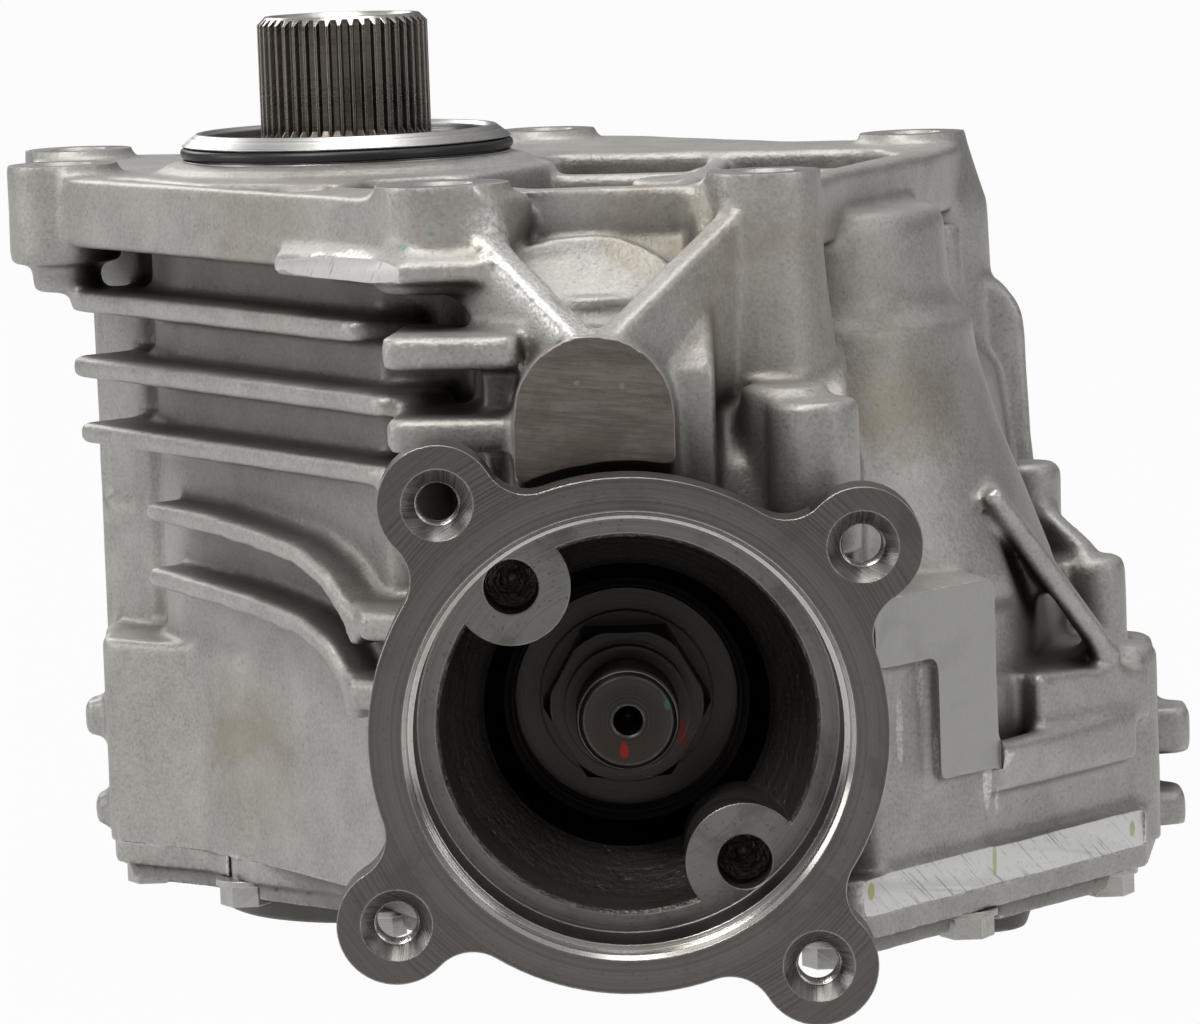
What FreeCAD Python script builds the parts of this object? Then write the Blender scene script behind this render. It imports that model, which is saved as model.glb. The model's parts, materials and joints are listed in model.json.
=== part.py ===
import FreeCAD, Part
import math
import os

# Power take-off unit, lengths in millimetres, +Z up.
# Origin: input axis on the plane that meets the transaxle. Pinion axis runs along Y, flange towards -Y.

V = FreeCAD.Vector
os.makedirs("parts", exist_ok=True)

# Planes of the housing
jointZ = -152.0
baseZ = -168.5
skirtZ = -161.0
slabDepth = 17.0

# Axes
pinX = 58.0
pinZ = -108.0
transferY = 9.0

# Clearances
sealGap = 0.3
gearGap = 1.8
sideGap = 2.0

# Spur gear pair
gearModule = 2.5
inputTeeth = 28
transferTeeth = 40
gearTop = -62.0
gearWidth = 24.0
gearBacklash = 0.35
inputPitchR = gearModule * inputTeeth / 2
transferPitchR = gearModule * transferTeeth / 2
gearCentre = inputPitchR + transferPitchR
gearBottom = gearTop - gearWidth
transferX = math.sqrt(gearCentre ** 2 - transferY ** 2)
pairAngle = math.degrees(math.atan2(transferY, transferX))

# Offset pinion and ring gear
pinionTeeth = 13
ringTeeth = 39
meshArm = 48.0
faceWidth = 12.0
pinionR = meshArm * pinionTeeth / ringTeeth
pinionTipR = pinionR + 1.9
pinionRootR = pinionR - 2.2
pinOffset = transferX - pinX
meshY = transferY - meshArm
ringPlaneZ = pinZ - pinionR
ringTipH = 0.7
ringRootH = 2.5
ringTooth = 1.9
ringR = math.sqrt(pinOffset ** 2 + (meshArm + faceWidth / 2) ** 2) + 0.8
ringBoreR = 22.0
ringThick = 9.5
ringTop = ringPlaneZ - ringRootH
ringBottom = ringTop - ringThick
ringBoltCount = 8
ringFlangeR = 38.0
ringBoltPcdR = ringFlangeR - 7.0
ringFlangeT = 7.0

# Input shaft
splineR = 19.05
splineRootR = 17.75
splineTeeth = 44
splineTop = 31.5
splineBottom = 4.0
inputLandR = 19.0
inputSeatR = inputLandR + 2.0
inputBoreR = 14.5

# Bearings: bore radius, outer radius, width
inputBearing = (19.0, 31.5, 17.0)
transferBearing = (15.0, 27.5, 17.0)
headBearing = (17.5, 31.0, 18.0)
tailBearing = (15.0, 27.5, 17.0)
rollerCount = 12
raceTilt = 12.0
inputUpperZ = -8.0
transferUpperZ = -20.0
lowerSeatZ = -156.5
shimThick = 1.0

# Pinion line along Y
headY = meshY + faceWidth / 2 + 1.5
headBackY = headY - faceWidth - 3.0
headFaceY = headBackY - 5.5
headCupY = headFaceY - headBearing[2]
spacerLength = 6.0
tailSmallY = headCupY - spacerLength
tailFaceY = tailSmallY - tailBearing[2]
hubR = 20.0
pinSplineR = 14.0
floorY = -109.0
hubBackY = tailFaceY
noseY = tailFaceY - 9.5
pinSealR = 28.0
stubEndY = -144.0
stubR = 10.0

# Companion flange
flangeY = -165.0
flangeT = 11.0
flangeR = 52.0
registerLip = 7.7
registerR = flangeR - registerLip
cupMouthR = registerR - 1.2
cupFloorR = 23.1
ledgeR = cupMouthR - 4.2
earPitchR = 60.0
earR = 12.0
earHoleR = 4.5
earSinkR = 7.2
earAngle = 37.4
earBlend = 9.0
padDepth = 16.0
padR = 12.0
padHoleR = 5.6
padX = 22.6
padZ = 28.8

# Pilot and seals on the input axis
pilotR = 36.8
pilotTop = 6.0
pilotBossR = pilotR + 4.2
pilotConeH = 2.5
pilotBoreR = pilotR - 5.3
ringGrooveR = pilotR - 2.0
ringGrooveZ = 1.85
oRingR = 1.25

# Mounting points on the plane Z = 0: x, y, outer radius, hole radius
mountPoints = [
    (23.6, -112.5, 14.0, 5.1),
    (89.9, -106.4, 12.0, 5.1),
    (127.3, 13.4, 12.0, 5.1),
    (-64.3, 4.3, 12.5, 5.1),
    (-65.5, 62.9, 12.5, 5.1),
    (44.0, 78.0, 12.0, 5.1),
]

# Joint outline, seen from above
jointOutline = [
    (-58, -10), (-36, -26), (-26, -43), (-8, -58), (0, -70), (14, -97), (40, -114), (75, -123), (103, -137.5),
    (170, -60), (176, -22), (172, 28), (154, 62), (116, 86), (70, 88), (24, 66), (-16, 58), (-48, 46), (-60, 18),
]
coverBoltR = 3.0
coverBoltHead = 10.0
coverBolts = [
    (-50.5, 0.0), (-27.5, -33.5), (3.5, -76.0), (46.0, -107.5), (98.0, -126.5), (128.0, -100.0), (161.5, -57.0),
    (167.5, -16.0), (160.0, 36.0), (122.0, 76.0), (72.0, 80.0), (20.0, 57.5), (-41.0, 41.0),
]
coverDowels = [(147.5, -74.0), (-12.0, 52.0)]
dowelR = 4.0


def cylZ(r, z0, z1, x=0.0, y=0.0):
    return Part.makeCylinder(r, z1 - z0, V(x, y, z0), V(0, 0, 1))


def cylY(r, y0, y1, x, z):
    return Part.makeCylinder(r, y1 - y0, V(x, y0, z), V(0, 1, 0))


def coneZ(r0, r1, z0, z1, x=0.0, y=0.0):
    return Part.makeCone(r0, r1, z1 - z0, V(x, y, z0), V(0, 0, 1))


def box(x0, x1, y0, y1, z0, z1):
    return Part.makeBox(x1 - x0, y1 - y0, z1 - z0, V(x0, y0, z0))


def fuse(shapes):
    out = shapes[0]
    if len(shapes) > 1:
        out = out.multiFuse(shapes[1:])
    return out.removeSplitter()


def polyFace(points, z):
    pts = [V(p[0], p[1], z) for p in points]
    return Part.Face(Part.makePolygon(pts + [pts[0]]))


def prism(points, z0, z1):
    return polyFace(points, z0).extrude(V(0, 0, z1 - z0))


def roundPoly(points, radius, z):
    # closed wire with every corner rounded by an arc
    n = len(points)
    edges = []
    ends = []
    for i in range(n):
        a = V(points[i - 1][0], points[i - 1][1], z)
        b = V(points[i][0], points[i][1], z)
        c = V(points[(i + 1) % n][0], points[(i + 1) % n][1], z)
        u = (a - b).normalize()
        w = (c - b).normalize()
        half = u.getAngle(w) / 2
        r = radius
        if len(points[i]) > 2:
            r = points[i][2]
        t = min(r / math.tan(half), 0.48 * min((a - b).Length, (c - b).Length))
        r = t * math.tan(half)
        p0 = b + u * t
        p1 = b + w * t
        mid = (u + w).normalize()
        pm = b + mid * (r / math.sin(half) - r)
        ends.append((p0, pm, p1))
    for i in range(n):
        p0, pm, p1 = ends[i]
        if (math.pi - (p0 - pm).getAngle(p1 - pm)) > 0.02:
            edges.append(Part.Arc(p0, pm, p1).toShape())
        else:
            edges.append(Part.LineSegment(p0, p1).toShape())
        q = ends[(i + 1) % n][0]
        if (q - p1).Length > 1e-4:
            edges.append(Part.LineSegment(p1, q).toShape())
    return Part.Wire(edges)


def roundPrism(points, radius, z0, z1):
    return Part.Face(roundPoly(points, radius, z0)).extrude(V(0, 0, z1 - z0))


def plateXZ(points, y0, y1):
    pts = [V(p[0], y0, p[1]) for p in points]
    return Part.Face(Part.makePolygon(pts + [pts[0]])).extrude(V(0, y1 - y0, 0))


def plateYZ(points, x0, x1):
    pts = [V(x0, p[0], p[1]) for p in points]
    return Part.Face(Part.makePolygon(pts + [pts[0]])).extrude(V(x1 - x0, 0, 0))


def turnZ(profile, x=0.0, y=0.0):
    pts = [V(r, 0, z) for r, z in profile]
    face = Part.Face(Part.makePolygon(pts + [pts[0]]))
    solid = face.revolve(V(0, 0, 0), V(0, 0, 1), 360)
    solid.translate(V(x, y, 0))
    return solid


def turnY(profile, x, z):
    # profile of radius and y
    pts = [V(r, y, 0) for r, y in profile]
    face = Part.Face(Part.makePolygon(pts + [pts[0]]))
    solid = face.revolve(V(0, 0, 0), V(0, 1, 0), 360)
    solid.translate(V(x, 0, z))
    return solid


def web(p0, p1, thick, drop0, drop1):
    # upright plate whose top edge runs from p0 to p1
    a = V(*p0)
    b = V(*p1)
    flat = V(b.x - a.x, b.y - a.y, 0).normalize()
    side = V(-flat.y, flat.x, 0) * (thick / 2)
    pts = [a - side, b - side, b - side - V(0, 0, drop1), a - side - V(0, 0, drop0)]
    return Part.Face(Part.makePolygon(pts + [pts[0]])).extrude(side * 2)


def hexPrism(flats, z0, z1, x=0.0, y=0.0):
    r = flats / math.sqrt(3)
    pts = [(x + r * math.cos(math.radians(60 * k)), y + r * math.sin(math.radians(60 * k))) for k in range(6)]
    return prism(pts, z0, z1)


def spurWire(teeth, module, backlash, phase, z):
    # polygon of an involute spur gear, pressure angle 20 degrees
    rp = module * teeth / 2
    rb = rp * math.cos(math.radians(20))
    ra = rp + module
    rf = rp - 1.25 * module
    inv = math.tan(math.radians(20)) - math.radians(20)
    halfPitch = math.pi / (2 * teeth) - backlash / (2 * rp)
    radii = [rf, max(rb, rf) + 0.1, rp, ra]
    pts = []
    for k in range(teeth):
        mid = phase + 2 * math.pi * k / teeth
        left = []
        for r in radii:
            if r <= rb:
                half = halfPitch + inv + 0.015
            else:
                t = math.acos(rb / r)
                half = halfPitch + inv - (math.tan(t) - t)
            left.append((r, half))
        for r, half in left:
            pts.append((r * math.cos(mid - half), r * math.sin(mid - half)))
        for r, half in reversed(left):
            pts.append((r * math.cos(mid + half), r * math.sin(mid + half)))
    return [(p[0], p[1]) for p in pts]


def taperBearing(spec, cupWidth):
    # local frame: axis +Z, small roller end at 0, large end at the full width
    rb, ro, width = spec
    tilt = math.radians(raceTilt)
    mid = width * 0.5
    rm = (rb + ro) / 2 + 0.2
    half = (ro - rb) * 0.25
    length = width * 0.62
    slope = math.tan(tilt)

    def line(offset, z):
        return rm + offset / math.cos(tilt) + (z - mid) * slope

    cupGap = half + 0.35
    coneGap = half + 0.08
    cup = turnZ([(ro, 0), (ro, cupWidth), (line(cupGap, cupWidth), cupWidth), (line(cupGap, 0.0), 0)])
    z0 = mid - length / 2 * math.cos(tilt) - 0.6
    z1 = mid + length / 2 * math.cos(tilt) + 0.9
    ribR = line(-coneGap + half * 0.6, z1)
    cone = turnZ([(rb, 0), (line(-coneGap, 0.0), 0), (line(-coneGap, z1), z1), (ribR, z1 + 0.3),
                  (ribR, width), (rb, width)])
    rollers = []
    cage = [turnZ([(line(-0.7, z0 - 1.6), z0 - 1.6), (line(0.7, z0 - 1.6), z0 - 1.6), (line(0.7, z0), z0),
                   (line(-0.7, z0), z0)]),
            turnZ([(line(-0.7, z1 + 0.2), z1 + 0.2), (line(0.7, z1 + 0.2), z1 + 0.2),
                   (line(0.7, z1 + 1.6), z1 + 1.6), (line(-0.7, z1 + 1.6), z1 + 1.6)])]
    for k in range(rollerCount):
        turn = 360.0 * k / rollerCount
        axis = V(math.sin(tilt), 0, math.cos(tilt))
        start = V(rm, 0, mid) - axis * (length / 2)
        roller = Part.makeCone(half * 0.97, half, length, start, axis)
        roller.rotate(V(0, 0, 0), V(0, 0, 1), turn)
        rollers.append(roller)
        bar = Part.makeBox(1.3, 1.6, length + 2.6, V(-0.65, -0.8, -length / 2 - 1.3))
        bar.rotate(V(0, 0, 0), V(0, 1, 0), raceTilt)
        bar.translate(V(rm, 0, mid))
        bar.rotate(V(0, 0, 0), V(0, 0, 1), turn + 180.0 / rollerCount)
        cage.append(bar)
    return cup, cone, rollers, fuse(cage)


def place(shape, where, axis):
    # carries a shape from the local +Z frame to a point and a direction
    out = shape.copy()
    if axis == "-Z":
        out.rotate(V(0, 0, 0), V(1, 0, 0), 180)
    if axis == "+Y":
        out.rotate(V(0, 0, 0), V(1, 0, 0), -90)
    if axis == "-Y":
        out.rotate(V(0, 0, 0), V(1, 0, 0), 90)
    out.translate(V(*where))
    return out


def placeSet(spec, cupWidth, where, axis):
    cup, cone, rollers, cage = taperBearing(spec, cupWidth)
    return (place(cup, where, axis), place(cone, where, axis), [place(r, where, axis) for r in rollers],
            place(cage, where, axis))


def compound(shapes):
    return Part.makeCompound(shapes)


def save(name, shape):
    shape.exportStep("parts/" + name + ".step")
    print(name, len(shape.Solids), shape.isValid(), round(shape.Volume / 1000, 1))


# Main case

def traySlab():
    outline = [
        (-76, 2, 10), (-64, -9, 8), (2, -105, 6), (14, -124, 8), (34, -126, 10), (46, -108, 10), (78, -106, 8),
        (82, -117, 8), (98, -117, 10), (108, -76, 10), (130, -24, 10), (139, 10, 10), (130, 25, 9), (100, 40, 12),
        (60, 90, 10), (34, 90, 10), (20, 60, 12), (-55, 76, 9), (-76, 68, 10),
    ]
    slab = roundPrism(outline, 8, -slabDepth, -2.4)
    parts = [slab]
    for x, y, r, h in mountPoints:
        parts.append(cylZ(r, -slabDepth - 5.0, 0, x, y))
        if x < -50:
            parts.append(cylZ(r * 0.62, -28.5, -22, x, y))
    # ledge under the rim and the sawn gate strip
    parts.append(roundPrism([(-67, -1, 3), (0, -107, 4), (14, -126, 6), (36, -127.5, 5), (44, -100), (-40, 10)], 6,
                            -slabDepth - 1.0, -13.0))
    parts.append(roundPrism([(-13, -91, 1.5), (6, -119.5, 2), (15, -129.5, 3), (37, -130.5, 3), (40, -112), (0, -80)],
                            2, -19.5, -14.5))
    basin = roundPrism([(28, -98), (74, -100), (96, -92), (103, -70), (122, -22), (118, 0), (60, 14), (42, 20),
                        (47, -8), (30, -42), (6, -50), (2, -72)], 6, -13.5, 1)
    side = roundPrism([(-58, -6), (-4, -90), (0, -62), (-30, -46), (-47, -16)], 5, -10, 1)
    ribs = []
    for x0, y0, x1, y1, top in [(26, -44, 60, -97, -4.5), (40, -8, 122, -22, -5.5), (34, -60, 106, -62, -6.0),
                                (70, -102, 84, 16, -4.5)]:
        ribs.append(web((x0, y0, top), (x1, y1, top), 5.0, 12.0, 12.0))
    ribs.append(cylZ(11.0, -14.0, -5.0, 74.0, -40.0))
    hollow = [basin.cut(ribs), side.cut([web((-40, -14, -4.0), (-6, -62, -4.0), 4.5, 12.0, 12.0)])]
    return parts, hollow


def finPlate(z0, z1, leftX, leftY, rightX, rightY):
    # flat cooling fin: straight outer edge, pointed left end
    inner = [(20, -60, 3), (-20, 10, 3), (-44, 16, 5)]
    points = [(leftX, leftY, 3.0), (rightX, rightY, 4.0), (rightX + 16, rightY + 4, 4.0)] + inner
    return roundPrism(points, 3, z0, z1)


def curvedFin(line, thick, depth):
    # fin drawn as a band in the upright plane of the fin edges, then carried inward
    ux, uy = finDir
    top = []
    low = []
    for i, (u, z) in enumerate(line):
        a = line[max(i - 1, 0)]
        b = line[min(i + 1, len(line) - 1)]
        length = math.hypot(b[0] - a[0], b[1] - a[1])
        nu = -(b[1] - a[1]) / length * thick / 2
        nz = (b[0] - a[0]) / length * thick / 2
        top.append((u + nu, z + nz))
        low.append((u - nu, z - nz))
    pts = [V(finStart[0] + u * ux, finStart[1] + u * uy, z) for u, z in top + low[::-1]]
    return Part.Face(Part.makePolygon(pts + [pts[0]])).extrude(V(-uy, ux, 0) * depth)


finStart = (-64.5, 0.0)
finDir = (0.535, -0.845)


def fins():
    out = []
    for top, bottom, lx, ly, rx, ry in [
        (-28.0, -33.0, -64.5, 0.0, 3.0, -106.5),
        (-42.8, -47.6, -64.5, 0.0, 9.0, -116.0),
        (-57.8, -62.4, -63.0, -2.5, 8.0, -114.0),
    ]:
        out.append(finPlate(bottom, top, lx, ly, rx, ry))
    out.append(curvedFin([(32.5, -75.5), (58, -76.0), (78, -77.4), (98, -79.4), (110, -83.5), (119, -90.0),
                          (123, -96.0)], 4.4, 24.0))
    out.append(curvedFin([(32.5, -90.0), (58, -91.2), (78, -92.4), (98, -94.6), (110, -98.5), (118, -105.0),
                          (121, -112.0)], 4.6, 24.0))
    # short fins beside the milled pad
    for top, bottom, lx, ly in [(-29.0, -36.0, 10.5, -140.0), (-45.5, -52.5, 11.0, -141.0)]:
        out.append(roundPrism([(lx, ly, 3), (38, -146, 3), (42, -120, 3), (lx + 4, -104, 3)], 3, bottom, top))
    out.append(roundPrism([(3, -116, 3), (16, -124, 3), (24, -96, 3), (2, -92, 3)], 3, -94.0, -87.5))
    out.append(roundPrism([(0, -111, 3), (10, -118, 3), (20, -92, 3), (0, -88, 3)], 3, -109.0, -102.5))
    out.append(roundPrism([(8, -112, 2), (13, -122, 2), (24, -110, 2), (20, -96, 2)], 2, -72.0, -60.0))
    # wall between the fins and the snout
    out.append(roundPrism([(8, -94, 4), (24, -101, 5), (44, -104, 5), (44, -80, 5), (10, -80, 5)], 5, -120.0, -16.0))
    return out


def frontColumn():
    parts = []
    # round-topped column with the milled face
    parts.append(cylY(16.2, -149.0, -100.0, 53.2, -45.4))
    parts.append(box(37.0, 69.4, -149.0, -100.0, -66.0, -45.4))
    # sloping front under the mounting bosses
    parts.append(plateYZ([(-96, -2.4), (-106, -3), (-114, -12), (-124, -24), (-136, -38), (-136, -64), (-96, -78)],
                         31.0, 78.0))
    parts.append(plateYZ([(-96, -14), (-106, -18), (-116, -40), (-122, -64), (-96, -78)], 29.0, 96.0))
    parts.append(web((52.0, -146.0, -29.0), (24.0, -114.0, -1.0), 7.5, 22.0, 18.0))
    parts.append(web((55.0, -146.0, -30.0), (89.0, -108.0, -2.0), 6.5, 22.0, 40.0))
    # round swelling between the two ribs
    lean = V(0, -0.76, 0.65).normalize()
    foot = V(54.0, -112.0, -19.5)
    parts.append(Part.makeCylinder(13.5, 7.8, foot, lean))
    parts.append(Part.makeCone(13.5, 11.0, 1.8, foot + lean * 7.6, lean))
    parts.append(coneZ(16.5, 12.0, -62, -17, 89.9, -106.4))
    # two plain cylinders right of the milled face
    parts.append(cylZ(9.0, -76, -42.3, 92.2, -127.0))
    parts.append(cylZ(9.3, -76, -44.6, 97.6, -137.0))
    parts.append(plateYZ([(-96, -36), (-118, -44), (-132, -58), (-136, -76), (-96, -84)], 68.0, 106.0))
    return parts


def bell():
    # rear bell over the gears and, in front of the right rim, the round tower seen in the photo
    rear = [(0, -12), (36, -12), (40, -16), (42.5, -31), (52, -43), (60, -53), (61.5, -64), (64, -84), (68, -104),
            (70, jointZ), (0, jointZ)]
    parts = [turnZ(rear, transferX, transferY)]
    front = [(0, -11.5), (29, -11.5), (31, -12.5), (32, -14.5), (33.2, -30), (34.5, -33), (37.5, -36), (38.5, -44),
             (43, -60), (46.5, -69), (53.5, -88), (53.5, -93), (50, -97), (50, jointZ), (0, jointZ)]
    parts.append(turnZ(front, towerX, towerY))
    parts.append(cylZ(8.5, -13, -9.6, towerX - 1, towerY + 4))
    return parts


towerX = 98.0
towerY = -52.0


def inputSide():
    parts = [cylZ(pilotR, -24, pilotTop - pilotConeH),
             coneZ(pilotR, pilotR - 3.2, pilotTop - pilotConeH, pilotTop)]
    parts.append(cylZ(pilotBossR, -40, -0.6))
    parts.append(cylZ(44.5, jointZ, -14))
    # wall block behind the fins and the deeper rear strip
    parts.append(roundPrism([(-44.5, -6, 20), (-36.5, -25, 6), (10, -98.5, 4), (24, -100), (60, -60), (60, 30),
                             (-20, 40), (-44.5, 30)], 6, jointZ, -10))
    parts.append(roundPrism([(-57.5, 22), (-48, 8), (0, 0), (20, 50), (-30, 56), (-57.5, 48)], 5, jointZ, -13))
    # plain box panel at the lower left
    parts.append(roundPrism([(-59.0, -9), (-37, -26), (-27, -42), (-9, -57), (-1, -70), (12, -96), (40, -60),
                             (10, 40), (-48, 44), (-60, 16)], 5, jointZ, -106.0))
    # stiffening strip between the input wall and the bell
    parts.append(roundPrism([(-20, -30), (60, -98), (112, -40), (110, 40), (40, 60), (-20, 44)], 8, jointZ, -16))
    return parts


def snout():
    parts = [turnY([(0, noseY), (33.0, noseY), (34.5, noseY + 1.5), (39.0, -66.0), (42.0, -40.0), (0, -40.0)],
                   pinX, pinZ)]
    for angle in (35, 90, 145, 215, 325):
        rib = box(-3, 3, noseY + 4, -60, 0, 48)
        rib.rotate(V(0, 0, 0), V(0, 1, 0), 90 - angle)
        rib.translate(V(pinX, 0, pinZ))
        parts.append(rib)
    # upright web from the snout to the column
    parts.append(plateYZ([(-90, -60), (-116, -60), (-112, -72), (-92, -96)], 30.0, 86.0))
    return parts


def rightSide():
    parts = []
    # stepped lower panels, a little behind the sawn strip
    parts.append(roundPrism([(90, -100), (103, -133), (134.5, -97.5), (166.5, -60.5), (172, -22), (168, 26),
                             (150, 58), (116, 80), (100, 40)], 6, jointZ, -127.5))
    parts.append(roundPrism([(90, -100), (114, -112), (133, -92), (158, -62), (166, -22), (162, 22), (144, 52),
                             (112, 74), (100, 40)], 8, jointZ, -110.0))
    parts.append(roundPrism([(90, -100), (108, -104), (126, -84), (148, -56), (158, -22), (154, 18), (136, 46),
                             (110, 66), (100, 40)], 10, jointZ, -94.0))
    # upright block with the raised L face
    parts.append(roundPrism([(88, -106), (108.0, -130.0, 3), (133.5, -100.5, 5), (120, -70), (96, -60)], 5, jointZ,
                            -86.0))
    face = roundPrism([(108.6, -134.4, 1), (135.8, -103.0, 1.5), (131, -97, 1), (103, -128, 1)], 1, -127.0, -86.6)
    recess = roundPrism([(100, -140, 1), (108, -140, 1), (123.2, -120.4, 1), (118.5, -112.5, 1), (100, -126, 1)], 1,
                        -130.0, -101.0)
    parts.append(face.cut(recess))
    # skirt between the tower and the block
    parts.append(plateYZ([(-40, -52), (-100, -60), (-116, -84), (-121, jointZ), (-40, jointZ)], 74.0, 108.0))
    # slanted rib whose front edge falls from the tower to the ledge
    upper = [V(134.4, -89.0, -71.8), V(138.0, -89.0, -69.4), V(138.0, -62.0, -69.4), V(134.4, -62.0, -71.8)]
    lower = [V(160.4, -68.5, -112.0), V(165.0, -68.5, -109.4), V(165.0, -46.0, -109.4), V(160.4, -46.0, -112.0)]
    parts.append(Part.makeLoft([Part.makePolygon(q + [q[0]]) for q in (upper, lower)], True, True))
    # rounded ledge at its foot, and the raised apron that continues the L face
    parts.append(web((143.0, -84.0, -110.0), (169.5, -57.5, -112.5), 7.0, 14.0, 12.0))
    parts.append(roundPrism([(131, -101, 1), (135.8, -103.0, 1), (168.6, -65.1, 2), (164, -58, 1)], 1, -132.5, -122.0))
    # bolt columns down the right edge, each a step lower
    for x, y, r, top in [(149.0, -12.0, 8.0, -73.0), (162.5, -24.0, 7.5, -93.0), (165.5, -50.0, 8.5, -109.0),
                         (168.0, -16.0, 8.5, -112.0), (160.0, 36.0, 9.0, -112.0), (122.0, 76.0, 9.5, -112.0),
                         (72.0, 80.0, 9.5, -100.0)]:
        parts.append(cylZ(r, jointZ, top - 1.5, x, y))
        parts.append(coneZ(r, r - 1.5, top - 1.5, top, x, y))
    parts.append(web((148.0, -14.0, -77.0), (162.5, -26.0, -91.0), 5.5, 40.0, 30.0))
    # long column of the rear right boss and the wall with the rounded shoulder beside it
    parts.append(coneZ(16.5, 12.0, -16, -1.0, 127.3, 13.4))
    parts.append(coneZ(18.0, 16.5, -60, -16, 127.3, 13.4))
    shoulder = [(118, -120), (118, -26), (139, -30)]
    for k in range(7):
        a = math.radians(90 - 15 * k)
        shoulder.append((138.5 + 12.5 * math.cos(a), -44.5 + 12.5 * math.sin(a)))
    shoulder += [(152.0, -70), (154, -90), (162, -120)]
    parts.append(plateXZ(shoulder, 4.0, 26.0))
    parts.append(coneZ(8.0, 5.0, -60, -19, 131.0, -11.0))
    parts.append(coneZ(14.0, 12.0, -100, -8, 44.0, 78.0))
    parts.append(roundPrism([(30, 50), (60, 50), (58, 82), (32, 84)], 6, -120.0, -14.0))
    # pry lugs
    parts.append(roundPrism([(160, -34, 2), (183.0, -30, 3), (183.5, -16, 3), (160, -10, 2)], 2, -137.5, -127.0))
    parts.append(roundPrism([(160, -42, 2), (181, -36, 3), (181.5, -22, 3), (160, -16, 2)], 2, jointZ, -144.5))
    parts.append(roundPrism([(-40, -6, 2), (-64.5, 0, 3), (-64.5, 10, 3), (-40, 14, 2)], 2, -129.5, -121.5))
    parts.append(roundPrism([(-40, 0, 2), (-63.5, 4, 3), (-63.5, 14, 3), (-40, 18, 2)], 2, -151.0, -144.0))
    return parts


def jointRim():
    return [roundPrism(jointOutline, 5, jointZ, jointZ + 8)]


def rearSide():
    # wall, ribs and plug bosses at the back
    parts = []
    for x in (30.0, 62.0, 96.0, 128.0):
        y = transferY + math.sqrt(max(70.0 ** 2 - (x - transferX) ** 2, 0.0)) + 2
        parts.append(web((x, 44.0, -22.0), (x, y, -112.0), 5.0, 60.0, 34.0))
    # level ribs round the back of the bell
    for z, r in [(-66.0, 65.0), (-92.0, 69.0)]:
        band = cylZ(r, z - 4.0, z, transferX, transferY)
        parts.append(band.common(box(10, 170, 30, 120, z - 5, z + 1)))
    # upright ribs on the wall behind the fins
    for x0, y0, x1, y1 in [(-50, 26, -60.5, 26), (-50, 42, -60.5, 42), (-34, 50, -34, 58.5), (-14, 50, -14, 58.5),
                           (6, 50, 6, 60.0)]:
        parts.append(web((x0, y0, -18.0), (x1, y1, -24.0), 5.0, 130.0, 124.0))
    parts.append(roundPrism([(-59.5, 20), (-48, 8), (0, 0), (24, 50), (-30, 58.5), (-59.5, 50)], 5, -84.0, -78.5))
    parts.append(cylY(14.0, 60.0, fillFaceY, fillX, fillZ))
    parts.append(cylY(14.0, 50.0, fillFaceY, drainX, drainZ))
    parts.append(cylZ(8.0, -60.0, breatherZ, breatherX, breatherY))
    return parts


fillX = 100.0
fillZ = -100.0
fillFaceY = 88.0
drainX = 48.0
drainZ = -137.0
plugR = 9.0
plugLength = 11.0
breatherX = 14.0
breatherY = 50.0
breatherZ = -2.4
breatherR = 3.0


def sidePocket():
    # tapered pocket in front of the slanted rib
    front = [V(132.0, -104.0, -70.0), V(143.5, -104.0, -109.6), V(161.5, -104.0, -109.6)]
    back = [V(140.5, -64.0, -82.0), V(147.5, -64.0, -107.5), V(158.0, -64.0, -107.5)]
    return Part.makeLoft([Part.makePolygon(q + [q[0]]) for q in (front, back)], True, True)


def caseHollows():
    cuts = []
    cuts.append(cylZ(inputPitchR + gearModule + gearGap, jointZ, gearTop + sideGap))
    cuts.append(coneZ(inputPitchR + gearModule + gearGap, 28.0, gearTop + sideGap, gearTop + sideGap + 12))
    cuts.append(cylZ(28.0, gearTop, inputUpperZ - inputBearing[2]))
    cuts.append(cylZ(inputBearing[1], inputUpperZ - inputBearing[2] - 6, inputUpperZ))
    cuts.append(cylZ(27.5, inputUpperZ, inputUpperZ + 2.0))
    cuts.append(cylZ(pilotBoreR, inputUpperZ + 1.5, pilotTop + 1))
    cuts.append(coneZ(pilotBoreR, pilotBoreR + 1.0, pilotTop - 0.8, pilotTop + 0.2))
    tx, ty = transferX, transferY
    cuts.append(cylZ(transferPitchR + gearModule + gearGap, jointZ, gearTop + sideGap, tx, ty))
    cuts.append(cylZ(24.0, gearTop, transferUpperZ - 8, tx, ty))
    cuts.append(cylZ(transferBearing[1], transferUpperZ - transferBearing[2] - 6, transferUpperZ, tx, ty))
    cuts.append(cylZ(20.0, transferUpperZ - 3, transferUpperZ + 2.0, tx, ty))
    cuts.append(cylZ(ringR + 2.5, jointZ, ringPlaneZ + ringTipH + 5.0, tx, ty))
    cuts.append(cylY(pinionTipR + 2.5, headBackY - 3, transferY - 20, pinX, pinZ))
    cuts.append(cylY(headBearing[1], headCupY, meshY, pinX, pinZ))
    cuts.append(cylY(24.0, tailSmallY - 1, headCupY + 1, pinX, pinZ))
    cuts.append(cylY(tailBearing[1], tailFaceY - 2, tailSmallY, pinX, pinZ))
    cuts.append(cylY(pinSealR, noseY - 1, tailFaceY - 1.0, pinX, pinZ))
    return cuts


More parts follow.
